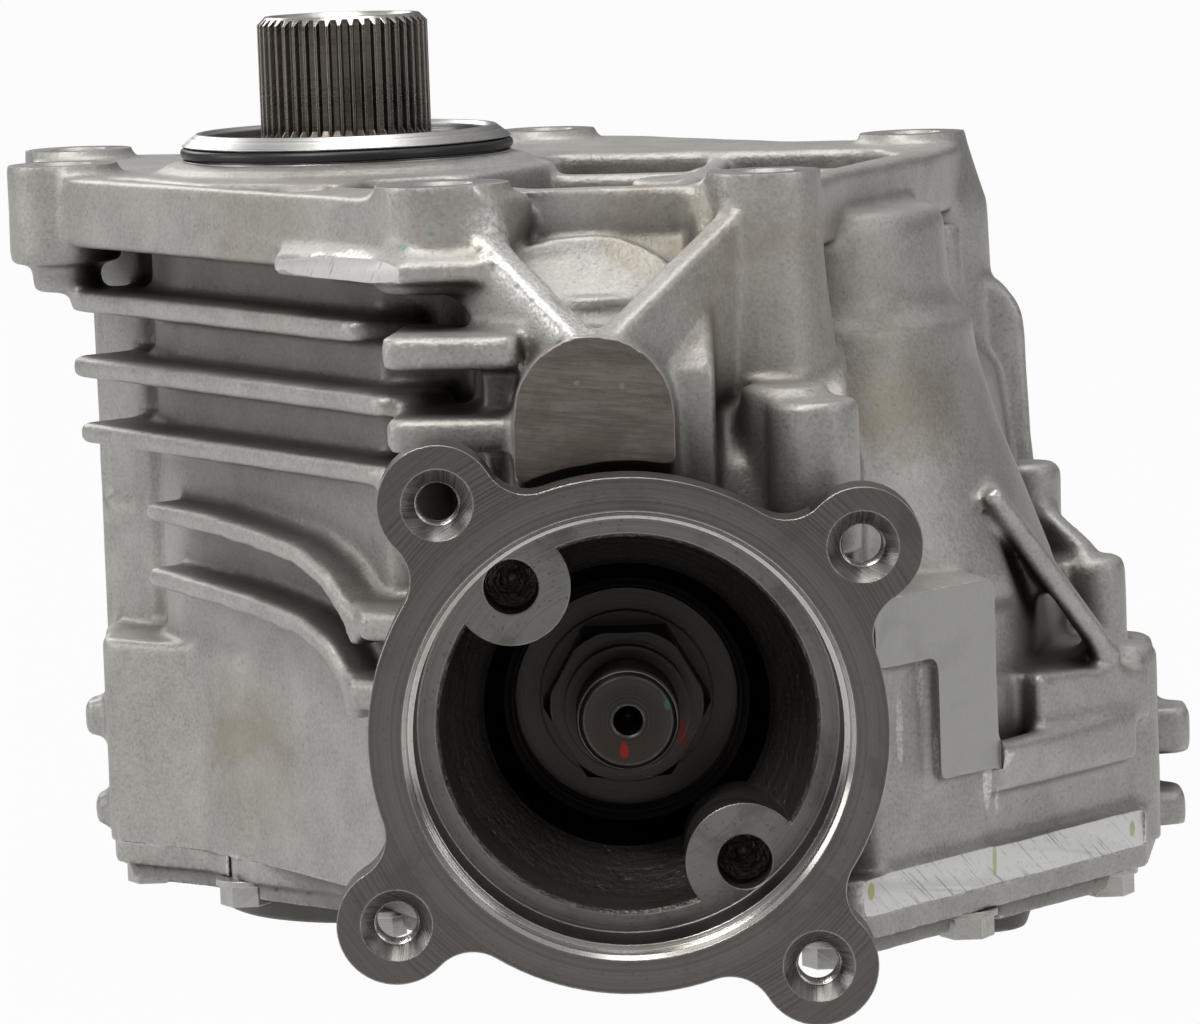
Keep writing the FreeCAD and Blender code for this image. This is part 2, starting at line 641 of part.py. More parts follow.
def flangeRoom():
    # swept room of the turning companion flange with its ears
    sweep = earPitchR + earR + 2.5
    return turnY([(0, flangeY - 5), (sweep, flangeY - 5), (sweep, flangeY + flangeT + 2.5), (flangeR + 1.5, -149.5),
                  (flangeR + 1.0, -146.0), (38.5, -116.0), (36.5, noseY - 2), (34.0, noseY - 0.8),
                  (0, noseY - 0.8)], pinX, pinZ)


def mainCase():
    slab, hollow = traySlab()
    parts = slab + fins() + frontColumn() + bell() + inputSide() + snout() + rightSide() + jointRim() + rearSide()
    case = parts[0].multiFuse(parts[1:])
    tools = hollow + caseHollows() + [flangeRoom(), sidePocket()]
    tools.append(turnZ([(pilotR + 3, ringGrooveZ - oRingR - 0.3), (ringGrooveR, ringGrooveZ - oRingR - 0.3),
                        (ringGrooveR, ringGrooveZ + oRingR + 0.3), (pilotR + 3, ringGrooveZ + oRingR + 0.3)]))
    for x, y, r, h in mountPoints:
        tools.append(cylZ(h, -slabDepth - 3.0, 1, x, y))
        tools.append(coneZ(h, h + 1.2, -1.2, 0.01, x, y))
    for x, y in coverBolts:
        tools.append(cylZ(coverBoltR, jointZ - 1, jointZ + 18, x, y))
    for x, y in coverDowels:
        tools.append(cylZ(dowelR, jointZ - 1, jointZ + 6, x, y))
    tools.append(cylY(plugR, fillFaceY - plugLength - 2, fillFaceY + 1, fillX, fillZ))
    tools.append(cylY(3.0, fillFaceY - 40, fillFaceY, fillX, fillZ))
    tools.append(cylY(plugR, fillFaceY - plugLength - 2, fillFaceY + 1, drainX, drainZ))
    tools.append(cylY(3.0, fillFaceY - 40, fillFaceY, drainX, drainZ))
    tools.append(cylZ(breatherR, breatherZ - 14, breatherZ + 1, breatherX, breatherY))
    tools.append(box(-200, 300, -300, 300, jointZ - 40, jointZ))
    return case.cut(tools)


# Bottom cover

def bottomCover():
    parts = [roundPrism(jointOutline, 5, -157.0, jointZ)]
    inner = [(-56, -8), (-35, -24), (-24, -42), (-6, -58), (3, -74), (18, -96), (44, -111), (75, -120),
             (102, -133), (166, -60), (171, -22), (167, 26), (150, 59), (114, 82), (70, 84), (26, 62), (-14, 54),
             (-45, 43), (-56, 16)]
    parts.append(roundPrism(inner, 9, skirtZ, -156.0))
    parts.append(coneZ(34.0, 37.0, baseZ, skirtZ + 1))
    parts.append(coneZ(34.0, 38.0, baseZ, skirtZ + 1, transferX, transferY))
    parts.append(coneZ(11.0, 14.0, baseZ, skirtZ + 1, pinX, -86.0))
    parts.append(coneZ(9.0, 12.0, baseZ, skirtZ + 1, 134.0, -62.0))
    parts.append(web((0, 0, -160.0), (pinX, -86.0, -160.0), 6.0, 6.5, 6.5))
    parts.append(web((transferX, transferY, -160.0), (pinX, -86.0, -160.0), 6.0, 6.5, 6.5))
    parts.append(web((transferX, transferY, -160.0), (134.0, -62.0, -160.0), 6.0, 6.5, 6.5))
    parts.append(web((transferX, transferY, -160.0), (150.0, 30.0, -160.0), 6.0, 5.0, 3.0))
    parts.append(web((transferX, transferY, -160.0), (90.0, 76.0, -160.0), 6.0, 5.0, 3.0))
    parts.append(web((0, 0, -160.0), (transferX, transferY, -160.0), 6.0, 6.5, 6.5))
    # bearing rings that stand up into the case
    parts.append(cylZ(inputBearing[1] + 5.0, -158.0, lowerSeatZ + 11.5))
    parts.append(cylZ(transferBearing[1] + 5.0, -158.0, lowerSeatZ + 11.5, transferX, transferY))
    cover = parts[0].multiFuse(parts[1:])
    tools = []
    tools.append(cylZ(inputBearing[1], lowerSeatZ - shimThick, jointZ + 20))
    tools.append(cylZ(transferBearing[1], lowerSeatZ - shimThick, jointZ + 20, transferX, transferY))
    tools.append(cylZ(24.0, baseZ - 1, baseZ + 8.5))
    tools.append(cylZ(20.0, baseZ + 8, lowerSeatZ))
    for x, y in coverBolts:
        tools.append(cylZ(coverBoltR + 0.35, -180, jointZ + 1, x, y))
        tools.append(cylZ(8.2, -180, -157.0, x, y))
    for x, y in coverDowels:
        tools.append(cylZ(dowelR, jointZ - 3.5, jointZ + 1, x, y))
    return cover.cut(tools)


# Fasteners and small pieces

def flangeBolt(x, y, shank, head, seat, tip):
    # head below the seat plane, shank upward
    body = cylZ(shank, seat - 1, tip, x, y)
    return fuse([body, cylZ(head * 0.66, seat - 1.4, seat, x, y), hexPrism(head, seat - 6.0, seat - 1.0, x, y)])


def plug(x, z):
    face = fillFaceY
    parts = [cylY(plugR, face - plugLength, face + 2, x, z), cylY(12.0, face + 1.5, face + 4.0, x, z)]
    solid = fuse(parts)
    hexa = hexPrism(8.0, 0, 4.0)
    hexa.rotate(V(0, 0, 0), V(1, 0, 0), -90)
    hexa.translate(V(x, face + 1.0, z))
    return solid.cut(hexa)


def washerY(x, z):
    return cylY(12.5, fillFaceY, fillFaceY + 1.5, x, z).cut(cylY(plugR, fillFaceY - 1, fillFaceY + 3, x, z))


def lipSeal(ro, ri, z0, z1, x=0.0, y=0.0):
    # rubber covered ring with an inner lip, z1 is the outer side
    m = (z0 + z1) / 2
    return turnZ([(ro, z0), (ro, z1), (ri + 3.5, z1), (ri, z1 - 1.2), (ri, m), (ri + 2.0, m - 0.6),
                  (ri + 4.0, m - 0.6), (ri + 4.0, z0)], x, y)


def breather():
    x, y, z = breatherX, breatherY, breatherZ
    return fuse([cylZ(breatherR, z - 12, z + 4, x, y), cylZ(4.4, z, z + 2, x, y), cylZ(2.2, z + 3, z + 10, x, y),
                 coneZ(3.2, 2.4, z + 10, z + 12.5, x, y)])


# Rotating pieces

def inputShaft():
    top = []
    for k in range(splineTeeth):
        mid = 2 * math.pi * k / splineTeeth
        step = math.pi / splineTeeth
        for r, a in [(splineRootR, -0.56), (splineR, -0.2), (splineR, 0.2), (splineRootR, 0.56)]:
            top.append((r * math.cos(mid + a * step), r * math.sin(mid + a * step)))
    spline = prism(top, splineBottom - 1, splineTop)
    crown = coneZ(splineR + 0.6, splineR - 1.8, splineTop - 2.4, splineTop)
    spline = spline.common(fuse([cylZ(splineR + 0.6, splineBottom - 2, splineTop - 2.4), crown]))
    low = lowerSeatZ + inputBearing[2]
    up = inputUpperZ - inputBearing[2]
    body = turnZ([(0, lowerSeatZ - 0.5), (inputLandR, lowerSeatZ - 0.5), (inputLandR, low), (inputSeatR, low),
                  (inputSeatR, gearTop), (inputSeatR + 4, gearTop), (inputSeatR + 4, gearTop + 4),
                  (inputSeatR + 0.5, gearTop + 7), (inputSeatR + 0.5, up), (inputLandR, up),
                  (inputLandR, splineBottom + 0.4), (splineRootR, splineBottom + 2.4), (0, splineBottom + 2.4)])
    shaft = fuse([spline, body])
    bore = [cylZ(inputBoreR, lowerSeatZ - 5, splineTop + 1),
            coneZ(inputBoreR, inputBoreR + 1.4, splineTop - 1.4, splineTop + 0.01)]
    return shaft.cut(bore)


def spurGear(teeth, phase, seat, x, y, holes):
    gear = prism(spurWire(teeth, gearModule, gearBacklash, phase, 0), gearBottom, gearTop)
    gear.translate(V(x, y, 0))
    cuts = [cylZ(seat, gearBottom - 1, gearTop + 1, x, y)]
    rim = gearModule * teeth / 2 - 3.6 * gearModule
    if holes:
        for side in (gearBottom - 1, gearTop - 6):
            cuts.append(cylZ(rim, side, side + 7, x, y).cut(cylZ(seat + 7, side - 1, side + 8, x, y)))
        for k in range(holes):
            a = 2 * math.pi * k / holes
            mid = (rim + seat + 7) / 2
            cuts.append(cylZ(4.0, gearBottom, gearTop, x + mid * math.cos(a), y + mid * math.sin(a)))
    return gear.cut(cuts)


def transferShaft():
    low = lowerSeatZ + transferBearing[2]
    up = transferUpperZ - transferBearing[2]
    land = transferBearing[0]
    body = turnZ([(0, lowerSeatZ - 0.5), (land, lowerSeatZ - 0.5), (land, low), (ringBoreR, low),
                  (ringBoreR, ringTop), (ringFlangeR, ringTop), (ringFlangeR, ringTop + ringFlangeT),
                  (25.0, ringTop + ringFlangeT), (25.0, gearBottom), (20.0, gearBottom), (20.0, gearTop + 3),
                  (18.0, gearTop + 5), (18.0, up), (land, up), (land, transferUpperZ - 0.6),
                  (0, transferUpperZ - 0.6)], transferX, transferY)
    return body.cut([cylZ(4.0, ringTop - 1, ringTop + ringFlangeT + 1, transferX + ringBoltPcdR * math.cos(a),
                          transferY + ringBoltPcdR * math.sin(a)) for a in ringBoltAngles()])


def ringGear():
    x, y = transferX, transferY
    body = turnZ([(ringBoreR, ringBottom), (ringR - 2.0, ringBottom), (ringR, ringBottom + 2.5), (ringR, ringTop),
                  (ringBoreR, ringTop)], x, y)
    inner = meshArm - faceWidth / 2
    outer = meshArm + faceWidth / 2
    teeth = []
    for k in range(ringTeeth):
        rib = plateXZ([(-ringTooth * 0.72, ringTop - 0.3), (ringTooth * 0.72, ringTop - 0.3),
                       (ringTooth * 0.36, ringPlaneZ + ringTipH), (-ringTooth * 0.36, ringPlaneZ + ringTipH)],
                      -outer, -inner)
        rib.translate(V(-pinOffset, 0, 0))
        rib.rotate(V(0, 0, 0), V(0, 0, 1), 360.0 * k / ringTeeth)
        rib.translate(V(x, y, 0))
        teeth.append(rib)
    ring = body.multiFuse(teeth)
    holes = [cylZ(4.0, ringBottom - 1, ringTop + 1, x + ringBoltPcdR * math.cos(a), y + ringBoltPcdR * math.sin(a))
             for a in ringBoltAngles()]
    return ring.cut(holes)


def ringBoltAngles():
    return [2 * math.pi * (k + 0.5) / ringBoltCount for k in range(ringBoltCount)]


def ringBolts():
    out = []
    seat = ringTop + ringFlangeT
    for a in ringBoltAngles():
        x = transferX + ringBoltPcdR * math.cos(a)
        y = transferY + ringBoltPcdR * math.sin(a)
        out.append(fuse([cylZ(4.0, ringBottom + 1, seat + 1, x, y), hexPrism(11.0, seat, seat + 5, x, y)]))
    return out


def pinionWire():
    pts = []
    step = 2 * math.pi / pinionTeeth
    for k in range(pinionTeeth):
        mid = k * step
        for r, half in [(pinionRootR, 0.30), (pinionR, 0.235), (pinionTipR, 0.125)]:
            pts.append((r, mid - half * step))
        for r, half in [(pinionTipR, 0.125), (pinionR, 0.235), (pinionRootR, 0.30)]:
            pts.append((r, mid + half * step))
    # a tooth space faces straight down at rest
    turn = -math.pi / 2 + math.pi / pinionTeeth
    return [(r * math.cos(a + turn), r * math.sin(a + turn)) for r, a in pts]


def drivePinion():
    head = plateXZ(pinionWire(), headBackY, headY)
    head.translate(V(pinX, 0, pinZ))
    b = headBearing[0]
    t = tailBearing[0]
    shaft = turnY([(0, headY), (9.0, headY), (pinionRootR - 1.0, headY - 0.5), 
                   (pinionRootR - 1.0, headBackY - 2.0), (b + 3.0, headFaceY + shimThick + 0.2),
                   (b + 3.0, headFaceY + shimThick), (b, headFaceY + shimThick),
                   (b, headCupY), (t, headCupY), (t, tailFaceY), (pinSplineR, tailFaceY), (pinSplineR, floorY + 1.0),
                   (stubR, floorY + 0.0), (stubR, stubEndY + 1.0), (stubR - 1.0, stubEndY), (3.2, stubEndY),
                   (1.6, stubEndY + 3.0), (1.6, stubEndY + 6.0), (0, stubEndY + 7.0)], pinX, pinZ)
    return fuse([head, shaft])


def earOutline():
    # flange outline with four ears and concave blends, made of arcs
    edges = []
    d = earPitchR
    a = flangeR + earBlend
    b = earR + earBlend
    cosA = (d * d + a * a - b * b) / (2 * d * a)
    side = math.acos(cosA)
    for k in range(4):
        mid = math.radians(earAngle + 90 * k)
        ear = V(d * math.cos(mid), 0, d * math.sin(mid))
        pts = []
        for s in (-1, 1):
            ang = mid + s * side
            c = V(a * math.cos(ang), 0, a * math.sin(ang))
            onRing = c * (flangeR / a)
            onEar = ear + (c - ear) * (earR / b)
            toMid = ((onRing - c) + (onEar - c)).normalize()
            pts.append((onRing, c + toMid * earBlend, onEar))
        tip = ear + V(math.cos(mid), 0, math.sin(mid)) * earR
        edges.append(Part.Arc(pts[0][0], pts[0][1], pts[0][2]).toShape())
        edges.append(Part.Arc(pts[0][2], tip, pts[1][2]).toShape())
        edges.append(Part.Arc(pts[1][2], pts[1][1], pts[1][0]).toShape())
        half = mid + math.pi / 4
        nxt = math.radians(earAngle + 90 * (k + 1)) - side
        end = V(flangeR * math.cos(nxt), 0, flangeR * math.sin(nxt))
        edges.append(Part.Arc(pts[1][0], V(flangeR * math.cos(half), 0, flangeR * math.sin(half)), end).toShape())
    return Part.Wire(edges)


def companionFlange():
    plate = Part.Face(earOutline()).extrude(V(0, flangeT, 0))
    plate.translate(V(pinX, flangeY, pinZ))
    shell = turnY([(0, flangeY), (flangeR - 1.0, flangeY), (flangeR - 1.0, flangeY + flangeT + 1.5),
                   (47.0, -146.0), (31.5, -112.0), (27.5, floorY + 4.5), (hubR, floorY + 5.0), (hubR, hubBackY),
                   (0, hubBackY)], pinX, pinZ)
    # inside of the cup
    inside = turnY([(0, flangeY - 1), (registerR + 1.8, flangeY - 1), (registerR + 0.9, flangeY),
                    (registerR, flangeY + 0.9), (registerR, flangeY + 5.0), (cupMouthR, flangeY + 5.6),
                    (cupMouthR - 0.5, flangeY + padDepth), (ledgeR, flangeY + padDepth),
                    (ledgeR - 0.8, flangeY + padDepth + 0.8), (37.0, -138.0), (31.5, -126.0), (cupFloorR + 2.4, -114.5),
                    (cupFloorR, -113.2), (cupFloorR, floorY), (0, floorY)], pinX, pinZ)
    room = turnY([(0, flangeY + padDepth), (cupMouthR + 0.4, flangeY + padDepth), (cupMouthR + 0.4, -146.0),
                  (34.0, -116.0), (0, -116.0)], pinX, pinZ)
    # side of a pad towards the wall: it widens in a hollow curve
    flare = [(padR, 0.0), (padR + 0.4, 3.0), (padR + 1.6, 5.4), (padR + 4.2, 7.2), (padR + 8.0, 8.0)]
    out = math.hypot(padX, padZ)
    pads = []
    holes = []
    for s in (1, -1):
        px = pinX - s * padX
        pz = pinZ + s * padZ
        pad = cylY(padR, flangeY + padDepth, -122.0, px, pz)
        bridge = plateXZ([(-w, h) for w, h in flare] + [(-padR - 8.0, 20.0), (padR + 8.0, 20.0)] +
                         [(w, h) for w, h in reversed(flare)], flangeY + padDepth, -122.0)
        bridge.rotate(V(0, 0, 0), V(0, 1, 0), math.degrees(math.atan2(-padX * s, padZ * s)))
        bridge.translate(V(px, 0, pz))
        pads += [pad.common(room), bridge.common(room)]
        holes.append(cylY(padHoleR, flangeY + padDepth - 1, flangeY + padDepth + 11, px, pz))
        holes.append(Part.makeCone(padHoleR, 0.5, 3.0, V(px, flangeY + padDepth + 11, pz), V(0, 1, 0)))
    flange = fuse([plate, shell]).cut(inside)
    flange = flange.multiFuse(pads)
    for k in range(4):
        a = math.radians(earAngle + 90 * k)
        x = pinX + earPitchR * math.cos(a)
        z = pinZ + earPitchR * math.sin(a)
        holes.append(cylY(earHoleR, flangeY - 1, flangeY + flangeT + 1, x, z))
        holes.append(Part.makeCone(earSinkR, earHoleR, 2.7, V(x, flangeY - 0.01, z), V(0, 1, 0)))
    holes.append(cylY(pinSplineR, floorY - 1, hubBackY + 1, pinX, pinZ))
    return flange.cut(holes)


def pinionNut():
    r = 30.0 / math.sqrt(3)
    pts = [(r * math.cos(math.radians(60 * k)), r * math.sin(math.radians(60 * k))) for k in range(6)]
    nut = plateXZ(pts, floorY - 14.0, floorY - 1.5)
    nut.translate(V(pinX, 0, pinZ))
    trim = turnY([(0, floorY), (15.6, floorY), (17.4, floorY - 2.5), (17.4, floorY - 12.0), (15.2, floorY - 14.5),
                  (0, floorY - 14.5)], pinX, pinZ)
    nut = nut.common(trim)
    base = cylY(18.0, floorY - 2.0, floorY, pinX, pinZ)
    collar = cylY(12.9, floorY - 19.0, floorY - 13.0, pinX, pinZ)
    return fuse([nut, base, collar]).cut(cylY(stubR, floorY - 30, floorY + 2, pinX, pinZ))


def collapsibleSpacer():
    m = (headCupY + tailSmallY) / 2
    r = headBearing[0]
    return turnY([(tailBearing[0] + 0.1, tailSmallY), (r + 1.2, tailSmallY), (r + 3.0, m), (r + 1.2, headCupY),
                  (tailBearing[0] + 0.1, headCupY), (r + 1.0, m)], pinX, pinZ)


def main():
    inputUp = placeSet(inputBearing, 13.5, (0, 0, inputUpperZ), "-Z")
    inputLow = placeSet(inputBearing, 13.5, (0, 0, lowerSeatZ), "+Z")
    transferUp = placeSet(transferBearing, 13.0, (transferX, transferY, transferUpperZ), "-Z")
    transferLow = placeSet(transferBearing, 13.0, (transferX, transferY, lowerSeatZ), "+Z")
    head = placeSet(headBearing, 14.0, (pinX, headCupY, pinZ), "+Y")
    tail = placeSet(tailBearing, 13.0, (pinX, tailSmallY, pinZ), "-Y")
    save("main_case", mainCase())
    save("bottom_cover", bottomCover())
    save("cover_bolts", compound([flangeBolt(x, y, coverBoltR, coverBoltHead, -157.0, jointZ + 15) for x, y in coverBolts]))
    save("cover_dowels", compound([cylZ(dowelR, jointZ - 3.2, jointZ + 5.5, x, y) for x, y in coverDowels]))
    ring = Part.makeTorus(ringGrooveR + oRingR, oRingR, V(0, 0, ringGrooveZ), V(0, 0, 1))
    save("pilot_o_ring", ring)
    save("input_oil_seal", lipSeal(pilotBoreR, inputLandR + sealGap, inputUpperZ + 2.0, inputUpperZ + 9.0))
    halfSeal = lipSeal(24.0, inputBoreR + 0.1, baseZ + 1.0, baseZ + 8.5)
    save("halfshaft_oil_seal", halfSeal)
    pinSeal = lipSeal(pinSealR, hubR + sealGap, 0, 7.5)
    save("pinion_oil_seal", place(pinSeal, (pinX, noseY + 8.5, pinZ), "-Y"))
    save("input_upper_cup", inputUp[0])
    save("input_lower_cup", inputLow[0])
    save("transfer_upper_cup", transferUp[0])
    save("transfer_lower_cup", transferLow[0])
    save("pinion_head_cup", head[0])
    save("pinion_tail_cup", tail[0])
    low = lowerSeatZ - shimThick
    save("input_preload_shim", turnZ([(inputBearing[1], low), (inputBearing[1], lowerSeatZ), (25.0, lowerSeatZ),
                                      (25.0, low)]))
    save("transfer_preload_shim", turnZ([(transferBearing[1], low), (transferBearing[1], lowerSeatZ),
                                         (21.0, lowerSeatZ), (21.0, low)], transferX, transferY))
    save("fill_plug", plug(fillX, fillZ))
    save("fill_plug_washer", washerY(fillX, fillZ))
    save("drain_plug", plug(drainX, drainZ))
    save("drain_plug_washer", washerY(drainX, drainZ))
    save("breather", breather())
    # input shaft group
    save("input_shaft", inputShaft())
    save("input_gear", spurGear(inputTeeth, math.radians(pairAngle), inputSeatR, 0, 0, 0))
    save("input_upper_cone", inputUp[1])
    save("input_lower_cone", inputLow[1])
    save("input_rollers", compound(inputUp[2] + inputLow[2]))
    save("input_cages", compound([inputUp[3], inputLow[3]]))
    # transfer shaft group
    save("transfer_shaft", transferShaft())
    phase = math.radians(pairAngle) + math.pi + math.pi / transferTeeth
    save("driven_gear", spurGear(transferTeeth, phase, 20.0, transferX, transferY, 6))
    save("ring_gear", ringGear())
    save("ring_gear_bolts", compound(ringBolts()))
    save("transfer_upper_cone", transferUp[1])
    save("transfer_lower_cone", transferLow[1])
    save("transfer_rollers", compound(transferUp[2] + transferLow[2]))
    save("transfer_cages", compound([transferUp[3], transferLow[3]]))
    # pinion group
    save("drive_pinion", drivePinion())
    save("pinion_head_cone", head[1])
    save("pinion_tail_cone", tail[1])
    save("pinion_rollers", compound(head[2] + tail[2]))
    save("pinion_cages", compound([head[3], tail[3]]))
    save("pinion_shim", turnY([(headBearing[0], headFaceY), (headBearing[0] + 4.5, headFaceY),
                               (headBearing[0] + 4.5, headFaceY + shimThick),
                               (headBearing[0], headFaceY + shimThick)], pinX, pinZ))
    save("collapsible_spacer", collapsibleSpacer())
    save("companion_flange", companionFlange())
    save("pinion_nut", pinionNut())


main()
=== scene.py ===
import json
import math

import bmesh
import bpy
import numpy as np
from mathutils import Matrix, Vector


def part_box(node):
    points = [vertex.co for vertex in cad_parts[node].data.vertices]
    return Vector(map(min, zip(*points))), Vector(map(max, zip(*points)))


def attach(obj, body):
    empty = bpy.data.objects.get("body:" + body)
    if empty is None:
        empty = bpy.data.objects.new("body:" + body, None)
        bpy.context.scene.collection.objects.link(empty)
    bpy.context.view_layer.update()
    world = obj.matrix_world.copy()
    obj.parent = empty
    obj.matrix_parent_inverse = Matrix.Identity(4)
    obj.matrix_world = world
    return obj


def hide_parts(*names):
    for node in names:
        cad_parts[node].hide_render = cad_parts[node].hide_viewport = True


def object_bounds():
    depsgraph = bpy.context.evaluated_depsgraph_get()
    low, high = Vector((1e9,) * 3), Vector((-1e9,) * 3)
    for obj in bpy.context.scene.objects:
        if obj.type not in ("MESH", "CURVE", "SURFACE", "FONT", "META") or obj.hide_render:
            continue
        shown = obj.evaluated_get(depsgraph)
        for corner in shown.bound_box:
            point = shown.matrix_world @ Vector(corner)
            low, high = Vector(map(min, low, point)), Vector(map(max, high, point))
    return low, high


# Power take-off unit: finishes, cast skin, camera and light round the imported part.
# Everything is in metres in the part's own frame.

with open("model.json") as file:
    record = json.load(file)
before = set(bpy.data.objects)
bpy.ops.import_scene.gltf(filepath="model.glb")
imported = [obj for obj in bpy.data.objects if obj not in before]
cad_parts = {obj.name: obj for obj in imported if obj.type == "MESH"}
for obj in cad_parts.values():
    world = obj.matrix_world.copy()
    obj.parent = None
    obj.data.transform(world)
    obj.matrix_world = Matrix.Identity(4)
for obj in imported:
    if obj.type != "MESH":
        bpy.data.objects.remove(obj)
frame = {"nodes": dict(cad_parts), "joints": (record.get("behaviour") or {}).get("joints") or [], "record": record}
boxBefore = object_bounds()
nodes = frame["nodes"]
mm = 0.001
jointAt = {j["name"]: j["pos_m"] for j in frame["joints"]}
pinX, pinZ = jointAt["pinion_spin"][0], jointAt["pinion_spin"][2]
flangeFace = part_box("companion_flange")[0].y
print("frame loaded:", len(nodes), "nodes")


# Small helpers for node trees

def feed(tree, made, inputs):
    for key, value in inputs.items():
        if isinstance(value, bpy.types.NodeSocket):
            tree.links.new(value, made.inputs[key])
        else:
            made.inputs[key].default_value = value
    return made


def addNode(tree, kind, inputs=None, **settings):
    made = tree.nodes.new("ShaderNode" + kind)
    for key, value in settings.items():
        setattr(made, key, value)
    return feed(tree, made, inputs or {})


def calc(tree, operation, a, b=0.0):
    return addNode(tree, "Math", {0: a, 1: b}, operation=operation).outputs[0]


def times(tree, a, b):
    return calc(tree, "MULTIPLY", a, b)


def plus(tree, a, b):
    return calc(tree, "ADD", a, b)


def weighed(tree, a, b, share):
    # a by its share, b by the rest
    return plus(tree, times(tree, a, share), times(tree, b, 1.0 - share))


def spread(tree, value, low, high, toLow=0.0, toHigh=1.0):
    return addNode(tree, "MapRange", {"Value": value, "From Min": low, "From Max": high, "To Min": toLow,
                                      "To Max": toHigh}, interpolation_type="SMOOTHSTEP").outputs["Result"]


def between(tree, value, ends):
    return addNode(tree, "MapRange", {"Value": value, "To Min": ends[0], "To Max": ends[1]}).outputs["Result"]


def blendColour(tree, mask, a, b):
    a, b = ((*value, 1.0) if isinstance(value, tuple) else value for value in (a, b))
    return addNode(tree, "Mix", {0: mask, 6: a, 7: b}, data_type="RGBA").outputs[2]


def tinted(tree, colour, mask, share, tint):
    return blendColour(tree, times(tree, mask, share), colour, tint)


def noise(tree, vector, scale, detail=3.0, rough=0.55, distort=0.0):
    return addNode(tree, "TexNoise", {"Vector": vector, "Scale": scale, "Detail": detail, "Roughness": rough,
                                      "Distortion": distort}).outputs[0]


vectorSockets = ("Vector", "Centre", "Normal")   # the other sockets of the groups are numbers


def newGroup(name, inputs, outputs):
    tree = bpy.data.node_groups.new(name, "ShaderNodeTree")
    for side, labels in (("INPUT", inputs), ("OUTPUT", outputs)):
        for label in labels:
            kind = "NodeSocketVector" if label in vectorSockets else "NodeSocketFloat"
            tree.interface.new_socket(label, in_out=side, socket_type=kind)
    entry = tree.nodes.new("NodeGroupInput").outputs
    leave = tree.nodes.new("NodeGroupOutput").inputs
    return tree, entry, leave


def useGroup(tree, group, inputs):
    made = tree.nodes.new("ShaderNodeGroup")
    made.node_tree = group
    return feed(tree, made, inputs).outputs


def give(tree, leave, **values):
    for label, value in values.items():
        tree.links.new(value, leave[label])


# Effects that several finishes share

grainShape = {"middle": 0.24, "patch": 0.055, "cells": 0.42, "speck": (0.26, 0.10), "fineShare": 0.45,
              "pit": 0.12}


def makeGrainGroup(v):
    # cast or forged grain: fine noise, broad patches, small specks and a height made from them
    tree, entry, leave = newGroup("castGrain", ("Vector", "Scale"), ("Fine", "Patch", "Speck", "Height"))
    place, scale = entry["Vector"], entry["Scale"]
    fine = noise(tree, place, scale, 3.0, 0.6)
    middle = noise(tree, place, times(tree, scale, v["middle"]), 3.0, 0.6)
    patch = noise(tree, place, times(tree, scale, v["patch"]), 5.0, 0.62, 0.4)
    cells = addNode(tree, "TexVoronoi", {"Vector": place, "Scale": times(tree, scale, v["cells"])})
    speck = spread(tree, cells.outputs["Distance"], *v["speck"])
    height = calc(tree, "SUBTRACT", weighed(tree, fine, middle, v["fineShare"]), times(tree, speck, v["pit"]))
    give(tree, leave, Fine=fine, Patch=patch, Speck=speck, Height=height)
    return tree


wearShape = {"samples": 4, "broken": 420.0, "least": 0.35, "bend": (0.02, 0.14)}


def makeWearGroup(v):
    # worn edges: where a rounded normal leaves the true one, broken up by noise
    tree, entry, leave = newGroup("edgeWear", ("Vector", "Radius"), ("Mask", "Normal"))
    rounded = addNode(tree, "Bevel", {"Radius": entry["Radius"]}, samples=v["samples"]).outputs["Normal"]
    true = addNode(tree, "NewGeometry").outputs["Normal"]
    dot = addNode(tree, "VectorMath", {0: rounded, 1: true}, operation="DOT_PRODUCT").outputs["Value"]
    bent = calc(tree, "SUBTRACT", 1.0, dot)
    broken = plus(tree, noise(tree, entry["Vector"], v["broken"], 3.0, 0.6), v["least"])
    give(tree, leave, Mask=spread(tree, times(tree, bent, broken), *v["bend"]), Normal=rounded)
    return tree


turnedShape = {"rise": 0.83, "broad": 0.07, "fineShare": 0.6, "contrast": (0.3, 0.7)}


def makeTurnedGroup(v):
    # marks of turning: lines at equal radius and height round the local Z axis
    tree, entry, leave = newGroup("turnedMarks", ("Vector", "Pitch"), ("Mask", "Height"))
    x, y, z = addNode(tree, "SeparateXYZ", {0: entry["Vector"]}).outputs
    radius = calc(tree, "SQRT", plus(tree, times(tree, x, x), times(tree, y, y)))
    along = times(tree, plus(tree, radius, times(tree, z, v["rise"])), entry["Pitch"])
    lines = addNode(tree, "TexNoise", {"W": along, "Scale": 1.0, "Detail": 3.0, "Roughness": 0.7},
                    noise_dimensions="1D").outputs[0]
    broad = addNode(tree, "TexNoise", {"W": times(tree, along, v["broad"]), "Scale": 1.0, "Detail": 1.0},
                    noise_dimensions="1D").outputs[0]
    mask = spread(tree, weighed(tree, lines, broad, v["fineShare"]), *v["contrast"])
    give(tree, leave, Mask=mask, Height=lines)
    return tree


streakShape = {"broad": 0.22, "fineShare": 0.6, "contrast": (0.32, 0.68), "scratch": (0.575, 0.64)}


